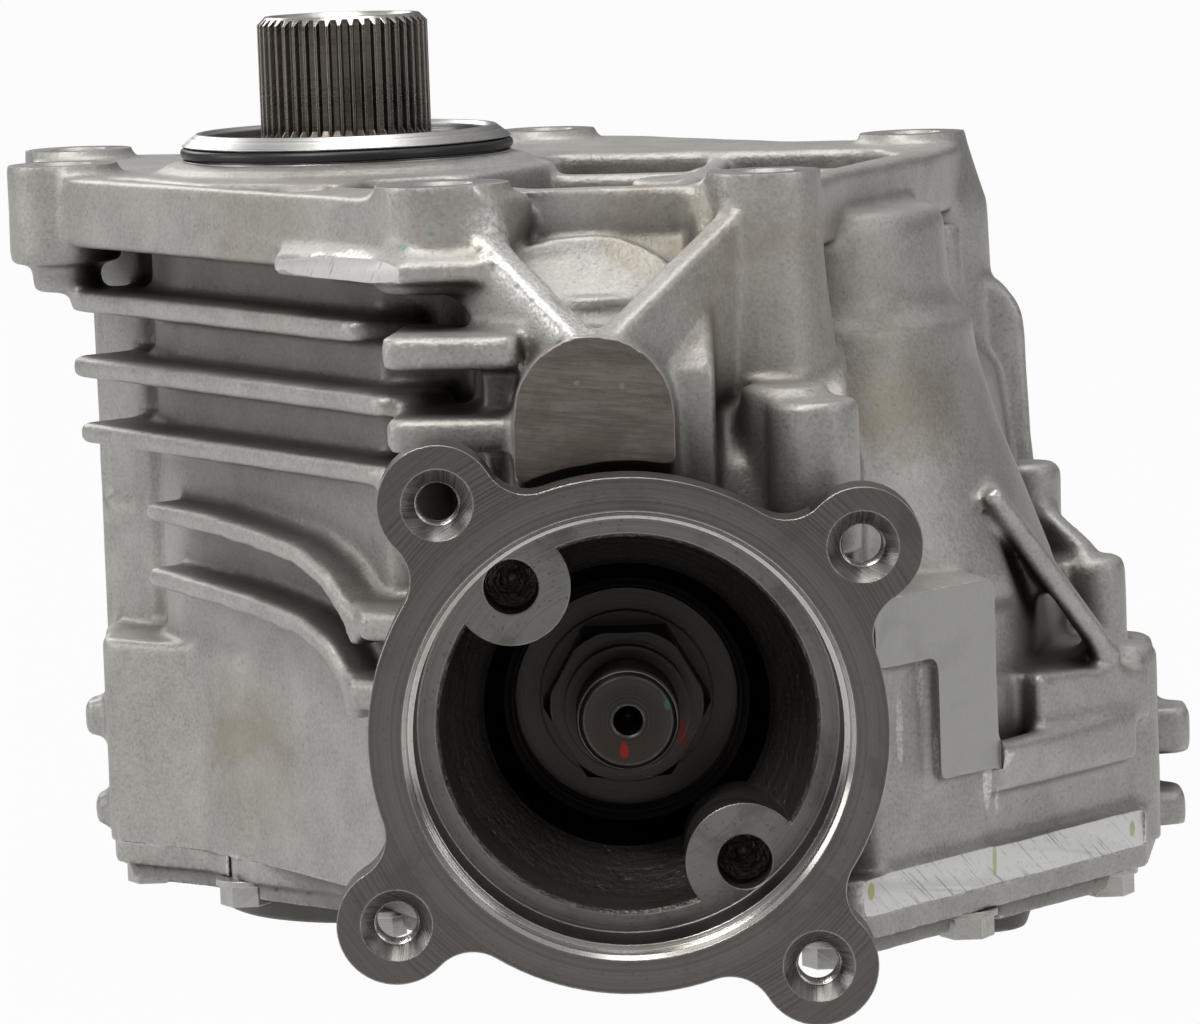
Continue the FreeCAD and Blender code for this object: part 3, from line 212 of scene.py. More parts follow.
def makeStreakGroup(v):
    # lines along one direction: X of the vector runs across them, Y along them
    tree, entry, leave = newGroup("millStreaks", ("Vector",), ("Mask", "Height", "Scratch"))
    fine = noise(tree, entry["Vector"], 1.0, 3.0, 0.7)
    broad = noise(tree, entry["Vector"], v["broad"], 2.0, 0.5)
    mask = spread(tree, weighed(tree, fine, broad, v["fineShare"]), *v["contrast"])
    give(tree, leave, Mask=mask, Height=fine, Scratch=spread(tree, fine, *v["scratch"]))
    return tree


stainSoft = 0.16   # how far past its start a stain is full


def makeStainGroup():
    # broad cloudy stain with ragged borders
    tree, entry, leave = newGroup("stainCloud", ("Vector", "Scale", "Start"), ("Mask",))
    cloud = noise(tree, entry["Vector"], entry["Scale"], 6.0, 0.62, 0.6)
    give(tree, leave, Mask=spread(tree, cloud, entry["Start"], plus(tree, entry["Start"], stainSoft)))
    return tree


dabShape = {"ragged": 380.0, "least": 0.45, "solid": 0.72}


def makeDabGroup(v):
    # one dab round a centre with a ragged border
    tree, entry, leave = newGroup("paintDab", ("Vector", "Centre", "Size"), ("Mask",))
    off = addNode(tree, "VectorMath", {0: entry["Vector"], 1: entry["Centre"]}, operation="DISTANCE")
    rough = noise(tree, entry["Vector"], v["ragged"], 4.0, 0.65)
    reach = times(tree, entry["Size"], plus(tree, rough, v["least"]))
    share = calc(tree, "DIVIDE", off.outputs["Value"], reach)
    give(tree, leave, Mask=spread(tree, share, 1.0, v["solid"]))
    return tree


grainGroup = makeGrainGroup(grainShape)
wearGroup = makeWearGroup(wearShape)
turnedGroup = makeTurnedGroup(turnedShape)
streakGroup = makeStreakGroup(streakShape)
stainGroup = makeStainGroup()
dabGroup = makeDabGroup(dabShape)
print("shared effects made")


def newFinish(name):
    mat = bpy.data.materials.new(name)
    mat.use_nodes = True
    tree = mat.node_tree
    tree.nodes.clear()
    leave = tree.nodes.new("ShaderNodeOutputMaterial")
    shader = tree.nodes.new("ShaderNodeBsdfPrincipled")
    tree.links.new(shader.outputs[0], leave.inputs[0])
    place = addNode(tree, "TexCoord").outputs["Object"]
    return mat, tree, shader, place


def setBump(tree, shader, height, distance, normal=None):
    inputs = {"Height": height, "Distance": distance, "Strength": 1.0}
    if normal is not None:
        inputs["Normal"] = normal
    tree.links.new(addNode(tree, "Bump", inputs).outputs[0], shader.inputs["Normal"])


def moved(tree, place, centre, turn):
    # texture space centred on a point, then turned
    shifted = addNode(tree, "VectorMath", {0: place, 1: centre}, operation="SUBTRACT").outputs[0]
    turn = [math.radians(a) for a in turn]
    return addNode(tree, "Mapping", {"Vector": shifted, "Rotation": turn}).outputs[0]


def lined(tree, place, axes):
    # texture space whose X and Y are the place measured along two directions, the lengths giving the scale
    across, along = (addNode(tree, "VectorMath", {0: place, 1: a}, operation="DOT_PRODUCT").outputs["Value"]
                     for a in axes)
    return addNode(tree, "CombineXYZ", {0: across, 1: along}).outputs[0]


strokeDepth = 0.12   # how much a stroke feels of its own depth along Y


def strokeMask(tree, place, centre, size, tall):
    # mask of one paint stroke: a dab drawn out upwards
    scale = (1.0, strokeDepth, 1.0 / tall)
    vector = addNode(tree, "VectorMath", {0: place, 1: scale}, operation="MULTIPLY").outputs[0]
    middle = tuple(c * s for c, s in zip(centre, scale))
    return useGroup(tree, dabGroup, {"Vector": vector, "Centre": middle, "Size": size})["Mask"]


def lineAxes(out, angle, fine, slow):
    # directions across and along marks that lie in a plane and climb at an angle from its level direction
    normal = Vector((*out, 0.0) if len(out) == 2 else out).normalized()
    level = Vector((0, 0, 1)).cross(normal).normalized() if abs(normal.z) < 0.5 else Vector((1, 0, 0))
    rise = normal.cross(level)
    a = math.radians(angle)
    return tuple((level * -math.sin(a) + rise * math.cos(a)) * fine), tuple(
        (level * math.cos(a) + rise * math.sin(a)) * slow)


# Cast aluminium

def cloudMask(tree, place, look):
    inputs = {"Vector": place, "Scale": look["cloud"], "Start": look["cloudStart"]}
    return useGroup(tree, stainGroup, inputs)["Mask"]


# shadeAndGrime is the near-black of painted shade and grime in hollows and recesses; aoShadeShare is how much of
# it the occlusion paints in
castLook = {
    "body": (0.430, 0.415, 0.388), "shade": (0.335, 0.323, 0.300), "bright": (0.76, 0.75, 0.73),
    "shadeAndGrime": (0.060, 0.052, 0.043), "ochre": (0.27, 0.215, 0.135), "speck": (0.15, 0.145, 0.135),
    "metal": 0.60, "rough": (0.38, 0.56), "grain": 1200.0, "bump": 0.00023, "deep": 0.026, "aoShadeShare": 0.94,
    "fineShare": 0.20, "speckShare": 0.22, "ochreShare": 0.44, "ridgeShare": 0.62, "ridgeGloss": 0.10,
    "cloud": 26.0, "cloudStart": 0.48, "patches": (0.30, 0.70), "fines": (0.35, 0.65), "ridges": (0.10, 0.75),
    "hollows": (-0.06, -0.62), "shut": (0.80, 0.28),
    "ochreAt": [((-0.030, -0.050, -0.128), 0.024), ((0.020, -0.100, -0.140), 0.018),
                ((-0.005, -0.070, -0.006), 0.030), ((0.030, -0.118, -0.010), 0.016),
                ((0.088, -0.112, -0.030), 0.030), ((0.068, -0.112, -0.012), 0.016),
                ((0.106, -0.088, -0.026), 0.020), ((0.118, -0.085, -0.050), 0.018)],
    "dabs": [((0.0155, -0.1225, -0.0120), 0.0013, 0.6, (0.05, 0.27, 0.20), 0.5),
             ((0.0215, -0.1255, -0.0093), 0.0009, 0.7, (0.05, 0.27, 0.20), 0.5),
             ((0.1330, -0.102, -0.1300), 0.0012, 6.5, (0.78, 0.775, 0.76), 0.75),
             ((0.1352, -0.100, -0.1345), 0.0006, 8.0, (0.78, 0.775, 0.76), 0.6),
             ((0.1140, -0.125, -0.1150), 0.0010, 9.0, (0.74, 0.735, 0.72), 0.6),
             ((0.1185, -0.122, -0.1050), 0.0012, 8.0, (0.74, 0.735, 0.72), 0.5),
             ((0.1215, -0.120, -0.1220), 0.0007, 9.0, (0.74, 0.735, 0.72), 0.6)],
}


def castFinish(name, look):
    mat, tree, shader, place = newFinish(name)
    edge = addNode(tree, "Attribute", attribute_name="edge").outputs["Fac"]
    grain = useGroup(tree, grainGroup, {"Vector": place, "Scale": look["grain"]})
    cloud = cloudMask(tree, place, look)
    fine = spread(tree, grain["Fine"], *look["fines"])
    colour = blendColour(tree, spread(tree, grain["Patch"], *look["patches"]), look["shade"], look["body"])
    colour = tinted(tree, colour, fine, look["fineShare"], look["bright"])
    colour = tinted(tree, colour, grain["Speck"], look["speckShare"], look["speck"])
    # painted shade, partly grime: concave corners (edge below 0) darken towards the near-black in cloudy patches
    hollowShadeShare = plus(tree, times(tree, cloud, 0.4), 0.42)
    colour = tinted(tree, colour, spread(tree, edge, *look["hollows"]), hollowShadeShare, look["shadeAndGrime"])
    for centre, size in look["ochreAt"]:
        dab = useGroup(tree, dabGroup, {"Vector": place, "Centre": centre, "Size": size})["Mask"]
        soft = times(tree, dab, plus(tree, times(tree, cloud, 0.6), 0.4))
        colour = tinted(tree, colour, soft, look["ochreShare"], look["ochre"])
    # painted shade, partly grime: ambient occlusion darkens the colour in recesses and between fins towards the
    # near-black shadeAndGrime
    shut = addNode(tree, "AmbientOcclusion", {"Distance": look["deep"]}, samples=6).outputs["AO"]
    colour = tinted(tree, colour, spread(tree, shut, *look["shut"]), look["aoShadeShare"], look["shadeAndGrime"])
    for centre, size, tall, tint, share in look["dabs"]:
        dab = times(tree, strokeMask(tree, place, centre, size, tall), plus(tree, fine, 0.3))
        colour = tinted(tree, colour, dab, share, tint)
    ridge = times(tree, spread(tree, edge, *look["ridges"]), plus(tree, fine, 0.35))
    colour = tinted(tree, colour, ridge, look["ridgeShare"], look["bright"])
    tree.links.new(colour, shader.inputs["Base Color"])
    rough = between(tree, grain["Fine"], look["rough"])
    rough = calc(tree, "SUBTRACT", rough, times(tree, ridge, look["ridgeGloss"]))
    tree.links.new(rough, shader.inputs["Roughness"])
    shader.inputs["Metallic"].default_value = look["metal"]
    setBump(tree, shader, grain["Height"], look["bump"])
    return mat


# Sawn, milled and turned metal

def machinedFinish(name, look):
    mat, tree, shader, place = newFinish(name)
    if "axes" in look:
        marks = useGroup(tree, streakGroup, {"Vector": lined(tree, place, look["axes"])})
    else:
        vector = moved(tree, place, look["centre"], look["turn"])
        marks = useGroup(tree, turnedGroup, {"Vector": vector, "Pitch": look["pitch"]})
    grain = useGroup(tree, grainGroup, {"Vector": place, "Scale": look["grain"]})
    cloud = cloudMask(tree, place, look)
    worn = useGroup(tree, wearGroup, {"Vector": place, "Radius": look["edge"]})
    colour = blendColour(tree, marks["Mask"], look["dark"], look["body"])
    if look["scratch"]:
        colour = tinted(tree, colour, marks["Scratch"], look["scratch"], look["stain"])
    colour = tinted(tree, colour, grain["Speck"], look["specks"], look["stain"])
    colour = tinted(tree, colour, cloud, look["cloudy"], look["stain"])
    for centre, size, tall, tint, share in look["dabs"]:
        colour = tinted(tree, colour, strokeMask(tree, place, centre, size, tall), share, tint)
    colour = tinted(tree, colour, worn["Mask"], look["wear"], look["bright"])
    tree.links.new(colour, shader.inputs["Base Color"])
    tree.links.new(between(tree, marks["Mask"], look["rough"]), shader.inputs["Roughness"])
    shader.inputs["Metallic"].default_value = look["metal"]
    height = weighed(tree, marks["Height"], grain["Height"], look["lines"])
    setBump(tree, shader, height, look["bump"], worn["Normal"])
    return mat


plainMetal = {"centre": (0, 0, 0), "turn": (0, 0, 0), "pitch": 2400.0, "grain": 1500.0, "cloud": 60.0,
              "cloudStart": 0.5, "cloudy": 0.35, "specks": 0.3, "edge": 0.0004, "wear": 0.7, "metal": 1.0,
              "rough": (0.25, 0.42), "lines": 0.8, "bump": 0.00006, "scratch": 0.0, "dabs": []}
onPinion = {"centre": (pinX, 0, pinZ), "turn": (90, 0, 0)}   # brings the pinion line, along Y, onto local Z
sawn = {"body": (0.78, 0.775, 0.76), "dark": (0.70, 0.695, 0.68), "bright": (0.86, 0.86, 0.84),
        "stain": (0.40, 0.385, 0.36), "cloudy": 0.14, "specks": 0.35, "metal": 0.6, "rough": (0.36, 0.54),
        "scratch": 0.85}


def metal(base=None, **changes):
    return {**plainMetal, **(base or {}), **changes}


caseMetals = {
    "turnedTop": metal(
        body=(0.62, 0.615, 0.60), dark=(0.42, 0.415, 0.40), bright=(0.82, 0.82, 0.81),
        stain=(0.30, 0.28, 0.24), pitch=1500.0, cloudy=0.30, rough=(0.24, 0.40)),
    "bossTop": metal(
        axes=lineAxes((0, 0, 1), 35, 1500.0, 40.0), body=(0.62, 0.615, 0.60), dark=(0.44, 0.43, 0.41),
        bright=(0.82, 0.82, 0.80), stain=(0.26, 0.24, 0.20), cloudy=0.45, rough=(0.30, 0.48)),
    "scrapedFace": metal(
        axes=lineAxes((0.756, -0.655), 86, 1500.0, 70.0), body=(0.46, 0.455, 0.44), dark=(0.40, 0.395, 0.38),
        bright=(0.74, 0.735, 0.72), stain=(0.37, 0.365, 0.35), cloud=45.0, cloudy=0.9, metal=0.6,
        rough=(0.36, 0.54), lines=0.4, bump=0.00016),
    "milledPad": metal(
        axes=lineAxes((0, -1), -6, 1500.0, 110.0), body=(0.235, 0.205, 0.182), dark=(0.125, 0.107, 0.094),
        bright=(0.50, 0.49, 0.47), stain=(0.10, 0.080, 0.066), cloud=55.0, cloudStart=0.46, cloudy=0.5,
        metal=0.85, rough=(0.34, 0.52), wear=0.9,
        dabs=[((0.0500, -0.149, -0.0385), 0.0007, 0.8, (0.34, 0.27, 0.16), 0.6),
              ((0.0590, -0.149, -0.0395), 0.0007, 1.2, (0.34, 0.27, 0.16), 0.5)]),
    "sawnStrip": metal(
        sawn, axes=lineAxes((0.757, -0.654), -40, 1500.0, 40.0),
        dabs=[((0.1066, -0.1333, -0.1468), 0.0009, 2.4, (0.44, 0.44, 0.17), 0.85),
              ((0.1341, -0.1015, -0.1468), 0.0006, 7.5, (0.46, 0.46, 0.22), 0.8),
              ((0.1665, -0.0640, -0.1478), 0.0008, 2.6, (0.44, 0.44, 0.20), 0.8)]),
    "gateStrip": metal(
        {**sawn, "body": (0.66, 0.655, 0.64)}, axes=lineAxes((-0.809, -0.588), 56, 900.0, 60.0), bump=0.00016),
}

pinionMetals = {
    "flangeFace": metal(
        onPinion, pitch=1500.0, body=(0.150, 0.141, 0.132), dark=(0.088, 0.081, 0.075),
        bright=(0.66, 0.65, 0.63), stain=(0.075, 0.068, 0.060), cloud=70.0, specks=0.35, edge=0.0005,
        wear=0.95, rough=(0.28, 0.44), bump=0.00007),
    "flangeRegister": metal(
        onPinion, pitch=1300.0, body=(0.62, 0.605, 0.58), dark=(0.40, 0.385, 0.36), bright=(0.85, 0.84, 0.82),
        stain=(0.20, 0.18, 0.15), rough=(0.16, 0.32), edge=0.0003),
    "flangeForged": metal(
        onPinion, grain=640.0, body=(0.160, 0.146, 0.130), dark=(0.092, 0.083, 0.073),
        bright=(0.30, 0.285, 0.27), stain=(0.085, 0.062, 0.040), cloudy=0.4, specks=0.6, wear=0.5, metal=0.70,
        rough=(0.26, 0.46), lines=0.05, bump=0.00120, edge=0.0008),
    "earBore": metal(
        onPinion, pitch=1300.0, body=(0.30, 0.29, 0.275), dark=(0.17, 0.162, 0.152), bright=(0.66, 0.65, 0.63),
        stain=(0.08, 0.07, 0.06), cloudy=0.5, rough=(0.20, 0.38), edge=0.0003),
    "flangePad": metal(
        onPinion, pitch=1100.0, body=(0.22, 0.21, 0.198), dark=(0.14, 0.132, 0.124), bright=(0.55, 0.54, 0.52),
        stain=(0.07, 0.06, 0.05), cloudy=0.5, specks=0.5, edge=0.0006, rough=(0.30, 0.48), bump=0.00007),
    "nutSteelAndHubShade": metal(
        onPinion, body=(0.050, 0.046, 0.043), dark=(0.026, 0.023, 0.022), bright=(0.30, 0.29, 0.28),
        stain=(0.05, 0.035, 0.028), cloudy=0.5, edge=0.0008, rough=(0.28, 0.46),
        dabs=[((pinX - 0.001, -0.1445, pinZ - 0.0062), 0.0010, 1.9, (0.26, 0.02, 0.015), 0.75),
              ((pinX + 0.0112, -0.1276, pinZ - 0.0060), 0.0016, 2.6, (0.12, 0.015, 0.012), 0.6),
              ((pinX + 0.0080, -0.1445, pinZ + 0.0030), 0.0007, 1.8, (0.03, 0.14, 0.08), 0.7)]),
}


# Other metals, rubber and plastic

smallMetals = {
    "splineSteel": metal(
        body=(0.17, 0.148, 0.128), dark=(0.10, 0.085, 0.072), bright=(0.70, 0.67, 0.63),
        stain=(0.05, 0.038, 0.028), pitch=1700.0, cloudy=0.45, edge=0.0003, rough=(0.24, 0.42)),
    "splineCrown": metal(
        body=(0.62, 0.60, 0.57), dark=(0.44, 0.42, 0.39), bright=(0.85, 0.84, 0.82), stain=(0.24, 0.20, 0.16),
        cloudy=0.3, edge=0.0003, rough=(0.18, 0.34)),
    "gearSteel": metal(
        body=(0.50, 0.49, 0.475), dark=(0.33, 0.32, 0.31), bright=(0.8, 0.79, 0.78),
        stain=(0.16, 0.13, 0.10)),
    "bearingSteel": metal(
        body=(0.62, 0.62, 0.61), dark=(0.48, 0.48, 0.47), bright=(0.85, 0.85, 0.85), stain=(0.22, 0.20, 0.17),
        cloudy=0.2, rough=(0.14, 0.26), bump=0.00003),
    "cageSteel": metal(
        body=(0.36, 0.355, 0.34), dark=(0.25, 0.245, 0.235), bright=(0.66, 0.65, 0.64),
        stain=(0.15, 0.13, 0.10), rough=(0.34, 0.5)),
    "shimSteel": metal(
        body=(0.58, 0.57, 0.55), dark=(0.44, 0.43, 0.42), bright=(0.8, 0.8, 0.79), stain=(0.24, 0.20, 0.15),
        rough=(0.26, 0.4)),
    "zincBolt": metal(
        body=(0.52, 0.515, 0.49), dark=(0.38, 0.37, 0.345), bright=(0.78, 0.775, 0.76),
        stain=(0.30, 0.26, 0.18), cloud=140.0, cloudy=0.5, metal=0.85, rough=(0.34, 0.5), lines=0.3,
        bump=0.00008, edge=0.0005),
    "plugSteel": metal(
        body=(0.42, 0.415, 0.395), dark=(0.28, 0.27, 0.255), bright=(0.72, 0.715, 0.70),
        stain=(0.16, 0.14, 0.11), edge=0.0005, rough=(0.32, 0.48)),
    "washerCopper": metal(
        body=(0.70, 0.36, 0.20), dark=(0.50, 0.24, 0.13), bright=(0.85, 0.52, 0.36), stain=(0.22, 0.12, 0.08),
        rough=(0.28, 0.44)),
    "ringRubber": metal(
        body=(0.022, 0.022, 0.023), dark=(0.012, 0.012, 0.013), bright=(0.05, 0.05, 0.05),
        stain=(0.035, 0.033, 0.030), metal=0.0, rough=(0.28, 0.42), lines=0.1, bump=0.00003),
    "sealRubber": metal(
        body=(0.055, 0.040, 0.034), dark=(0.032, 0.024, 0.021), bright=(0.11, 0.09, 0.08),
        stain=(0.06, 0.05, 0.04), metal=0.0, rough=(0.38, 0.56), lines=0.2, bump=0.00005),
    "ventPlastic": metal(
        body=(0.030, 0.030, 0.032), dark=(0.018, 0.018, 0.019), bright=(0.08, 0.08, 0.08),
        stain=(0.05, 0.045, 0.04), metal=0.0, rough=(0.36, 0.5), lines=0.05, bump=0.00005),
}

finishes = {"castCaseSkin": castFinish("castCaseSkin", castLook),
            "castCoverSkin": castFinish("castCoverSkin", {**castLook, "ochreAt": [], "dabs": []})}
for finishName, values in {**caseMetals, **pinionMetals, **smallMetals}.items():
    finishes[finishName] = machinedFinish(finishName, values)
print("finishes made:", len(finishes))

nodeFinish = {
    "cover_bolts": "zincBolt", "cover_dowels": "shimSteel", "pilot_o_ring": "ringRubber",
    "input_oil_seal": "sealRubber", "halfshaft_oil_seal": "sealRubber", "pinion_oil_seal": "sealRubber",
    "fill_plug": "plugSteel", "drain_plug": "plugSteel", "fill_plug_washer": "washerCopper",
    "drain_plug_washer": "washerCopper", "breather": "ventPlastic", "input_shaft": "splineSteel",
    "drive_pinion": "nutSteelAndHubShade", "pinion_nut": "nutSteelAndHubShade", "main_case": "castCaseSkin",
    "bottom_cover": "castCoverSkin", "companion_flange": "flangeFace",
}


def finishFor(name):
    if name in nodeFinish:
        return nodeFinish[name]
    if "cage" in name:
        return "cageSteel"
    if "shim" in name or "spacer" in name:
        return "shimSteel"
    if "cup" in name or "cone" in name or "roller" in name:
        return "bearingSteel"
    return "gearSteel"


for name, obj in nodes.items():
    obj.data.materials.clear()
    obj.data.materials.append(finishes[finishFor(name)])
print("every node has a finish")


# Meshes: whole-array access, new ones from points and faces, and pieces made of them

def readAll(items, key, width=3, kind=np.float32):
    values = np.empty(len(items) * width, kind)
    items.foreach_get(key, values)
    return values.reshape(-1, width)


def pointsOf(mesh):
    return readAll(mesh.vertices, "co").astype(float)


def setPoints(mesh, points):
    mesh.vertices.foreach_set("co", points.astype(np.float32).ravel())
    mesh.update()


def edit(mesh, change):
    work = bmesh.new()
    work.from_mesh(mesh)
    change(work)
    work.to_mesh(mesh)
    work.free()


def newMesh(name, points, faces):
    mesh = bpy.data.meshes.new(name)
    mesh.from_pydata(points, [], faces)
    edit(mesh, lambda work: bmesh.ops.recalc_face_normals(work, faces=work.faces))
    return mesh


def newObject(name, data):
    obj = bpy.data.objects.new(name, data)
    bpy.context.scene.collection.objects.link(obj)
    return obj


def newPiece(name, mesh, body, finishName):
    mesh.materials.append(finishes[finishName])
    obj = newObject(name, mesh)
    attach(obj, body)


def gridQuads(rows, columns, closed=False):
    # faces of a grid of points whose rows are rings; closed joins the last row to the first
    i, k = np.meshgrid(np.arange(rows if closed else rows - 1), np.arange(columns), indexing="ij")
    nextI, nextK = (i + 1) % rows, (k + 1) % columns
    quads = [i * columns + k, nextI * columns + k, nextI * columns + nextK, i * columns + nextK]
    return np.stack(quads, -1).reshape(-1, 4)


def paintFaces(obj, choices):
    # later choices win: each is a finish and a test on face centres and normals
    centres, normals = readAll(obj.data.polygons, "center"), readAll(obj.data.polygons, "normal")
    index = np.zeros(len(centres), np.int32)
    for finishName, test in choices:
        obj.data.materials.append(finishes[finishName])
        index[test(centres, normals)] = len(obj.data.materials) - 1
    obj.data.polygons.foreach_set("material_index", index)
    obj.data.update()


def pinRadius(p):
    return np.hypot(p[:, 0] - pinX, p[:, 2] - pinZ)


# Companion flange: turned faces, bright register, forged cup and outside

flangeShape = {"chamfer": 45.4 * mm, "register": 42.9 * mm, "registerDepth": 5.7 * mm, "padDepth": 16.0 * mm,
               "plateDepth": 10.9 * mm, "rim": 50.0 * mm, "earCircle": 60.0 * mm, "earAngle": 37.4,
               "earHole": 7.3 * mm, "floorRim": 29.0 * mm, "floorDepth": 40.0 * mm}
earAngles = [math.radians(flangeShape["earAngle"] + 90 * quarter) for quarter in range(4)]
earPlaces = [(pinX + flangeShape["earCircle"] * math.cos(a), pinZ + flangeShape["earCircle"] * math.sin(a))
             for a in earAngles]


def outward(p, n):
    # radial part of the normal, above 0 away from the pinion line
    r = np.maximum(pinRadius(p), 1e-6)
    return ((p[:, 0] - pinX) * n[:, 0] + (p[:, 2] - pinZ) * n[:, 2]) / r


def isForged(p, n):
    cupStart = flangeFace + flangeShape["padDepth"] + 0.15 * mm
    inCup = (pinRadius(p) < flangeShape["chamfer"]) & (p[:, 1] > cupStart)
    behind = (p[:, 1] > flangeFace + flangeShape["plateDepth"]) & ((outward(p, n) > 0.05) | (n[:, 1] > 0.5))
    side = (pinRadius(p) > flangeShape["rim"]) & (outward(p, n) > 0.3) & (np.abs(n[:, 1]) < 0.3)
    return inCup | behind | side


def isRegister(p, n):
    r = pinRadius(p)
    return (r < flangeShape["chamfer"]) & (r > flangeShape["register"]) & (p[:, 1] > flangeFace + 0.05 * mm) \
        & (p[:, 1] < flangeFace + flangeShape["registerDepth"])


def isMouth(p, n):
    # the turned wall inside the register, its ledge and the two pads
    deep = p[:, 1] - flangeFace
    wall = (pinRadius(p) < flangeShape["chamfer"]) & (deep > flangeShape["registerDepth"]) \
        & (deep < flangeShape["padDepth"] - 0.1 * mm)
    return wall | ((n[:, 1] < -0.9) & (np.abs(deep - flangeShape["padDepth"]) < 0.2 * mm))


# painted shade: the hub's floor deep in the cup takes the nut's near-black steel, standing in for the shade there
def isShadedFloor(p, n):
    inside = pinRadius(p) < flangeShape["floorRim"]
    return inside & (p[:, 1] > flangeFace + flangeShape["floorDepth"]) & (n[:, 1] < 0)


def isEarHole(p, n):
    found = np.zeros(len(p), bool)
    for x, z in earPlaces:
        found |= np.hypot(p[:, 0] - x, p[:, 2] - z) < flangeShape["earHole"]
    return found & (p[:, 1] > flangeFace + 0.03 * mm) & (p[:, 1] < flangeFace + flangeShape["plateDepth"])


crownHeight = 29.05 * mm   # the chamfered top of the splined shaft starts here
# the hub floor gets the near-black nut steel as painted shade
paintFaces(nodes["companion_flange"], [("flangeForged", isForged), ("flangeRegister", isRegister),
                                       ("flangePad", isMouth), ("nutSteelAndHubShade", isShadedFloor), ("earBore", isEarHole)])
paintFaces(nodes["input_shaft"], [("splineCrown", lambda p, n: (p[:, 2] > crownHeight) & (n[:, 2] > 0.15))])


# Cast skins: a rounded copy of the solid, with its machined planes cut sharp again

caseSkin = {"voxel": 0.95 * mm, "smoothing": 6, "again": 2, "wave": 0.10 * mm, "triangles": 186000,
            "stock": 1.3 * mm, "sharp": 38}
coverSkin = {"voxel": 0.8 * mm, "smoothing": 4, "wave": 0.06 * mm, "triangles": 90000, "stock": 1.0 * mm,
             "sharp": 38}


def plane(at, out, wide, high, finish=None):
    # middle, outward normal, half size across and half height in millimetres
    return {"at": at, "out": Vector(out).normalized(), "wide": wide, "high": high, "finish": finish}


casePlanes = [
    plane((53.2, -149.0, -48.0), (0, -1, 0), 17.5, 20.5, "milledPad"),
    plane((1.0, -110.25, -17.0), (-0.809, -0.588, 0), 26.0, 2.6, "gateStrip"),
    plane((122.2, -118.7, -106.8), (0.756, -0.655, 0), 21.0, 20.4, "scrapedFace"),
    plane((136.5, -98.75, -148.0), (0.757, -0.654, 0), 50.0, 4.2, "sawnStrip"),
]
topPlane = plane((50.0, -20.0, 0.0), (0, 0, 1), 170.0, 150.0, "bossTop")
jointBelow = plane((50.0, -20.0, -152.0), (0, 0, -1), 170.0, 150.0)
jointAbove = plane((50.0, -20.0, -152.0), (0, 0, 1), 170.0, 150.0)


def planeAxes(out):
    # level and rising direction within a machined plane
    if abs(out.z) > 0.5:
        return Vector((1, 0, 0)), Vector((0, 1, 0)) * out.z
    return Vector((0, 0, 1)).cross(out).normalized(), Vector((0, 0, 1))


def withinPlane(p, points, thick, spare=0.0):
    # points that lie in a machined plane, up to its half sizes and some spare, in millimetres
    off = points - np.array(p["at"]) * mm
    across, up = (np.array(a) for a in planeAxes(p["out"]))
    near = (np.abs(off @ across) < (p["wide"] + spare) * mm) & (np.abs(off @ up) < (p["high"] + spare) * mm)
    return near & (np.abs(off @ np.array(p["out"])) < thick * mm)


def mergedCopy(nodeName, name):
    mesh = nodes[nodeName].data.copy()
    edit(mesh, lambda work: bmesh.ops.remove_doubles(work, verts=work.verts, dist=0.002 * mm))
    mesh.materials.clear()
    return newObject(name, mesh)


def bake(obj):
    # puts what the modifiers make into the mesh
    graph = bpy.context.evaluated_depsgraph_get()
    made = bpy.data.meshes.new_from_object(obj.evaluated_get(graph))
    obj.modifiers.clear()
    obj.data = made


def edgesOf(mesh):
    return readAll(mesh.edges, "vertices", 2, np.int32)


def neighbourMean(values, pairs, count, share):
    # mean over each vertex's neighbours, for every column at once
    out = np.empty_like(values)
    for k in range(values.shape[1]):
        total = np.bincount(pairs[:, 0], values[pairs[:, 1], k], count) \
            + np.bincount(pairs[:, 1], values[pairs[:, 0], k], count)
        out[:, k] = total / share
    return out


rounding = {"pull": 0.55, "push": 0.35}


def relax(mesh, rounds):
    # rounds corners: each vertex moves towards the mean of its neighbours, and every second time a little back
    points, pairs = pointsOf(mesh), edgesOf(mesh)
    count = len(points)
    share = np.maximum(np.bincount(pairs.ravel(), minlength=count), 1)
    for k in range(rounds):
        points += (neighbourMean(points, pairs, count, share) - points) * rounding["pull"]
        if k % 2:
            points -= (neighbourMean(points, pairs, count, share) - points) * rounding["push"]
    setPoints(mesh, points)


# radians per metre along X, Y and Z, and phase
castWaves = [((310.0, 150.0, 90.0), 0.4), ((-120.0, 270.0, 210.0), 1.9), ((90.0, -180.0, 330.0), 3.1)]


def castWave(mesh, height):
    # the slow unevenness of a casting: three crossed sine waves along the normal
    points, normals = pointsOf(mesh), readAll(mesh.vertex_normals, "vector")
    waves = sum(np.sin(points @ np.array(k) + turn) for k, turn in castWaves)
    setPoints(mesh, points + normals * (waves * height / 3)[:, None])


# places on the case in millimetres, the cracks' two waves in radians per metre
scar = {"foot": (51.0, -145.0, -28.5), "head": (25.0, -115.0, -2.5), "reach": 5.2, "bright": 1.1, "full": 1.3,
        "crack": 1.5, "crackWidth": 1.1, "crackFrom": 0.86, "before": 2 * mm, "after": 1 * mm,
        "waves": ((1900.0, 300.0, 1300.0), (-500.0, 900.0, 700.0))}


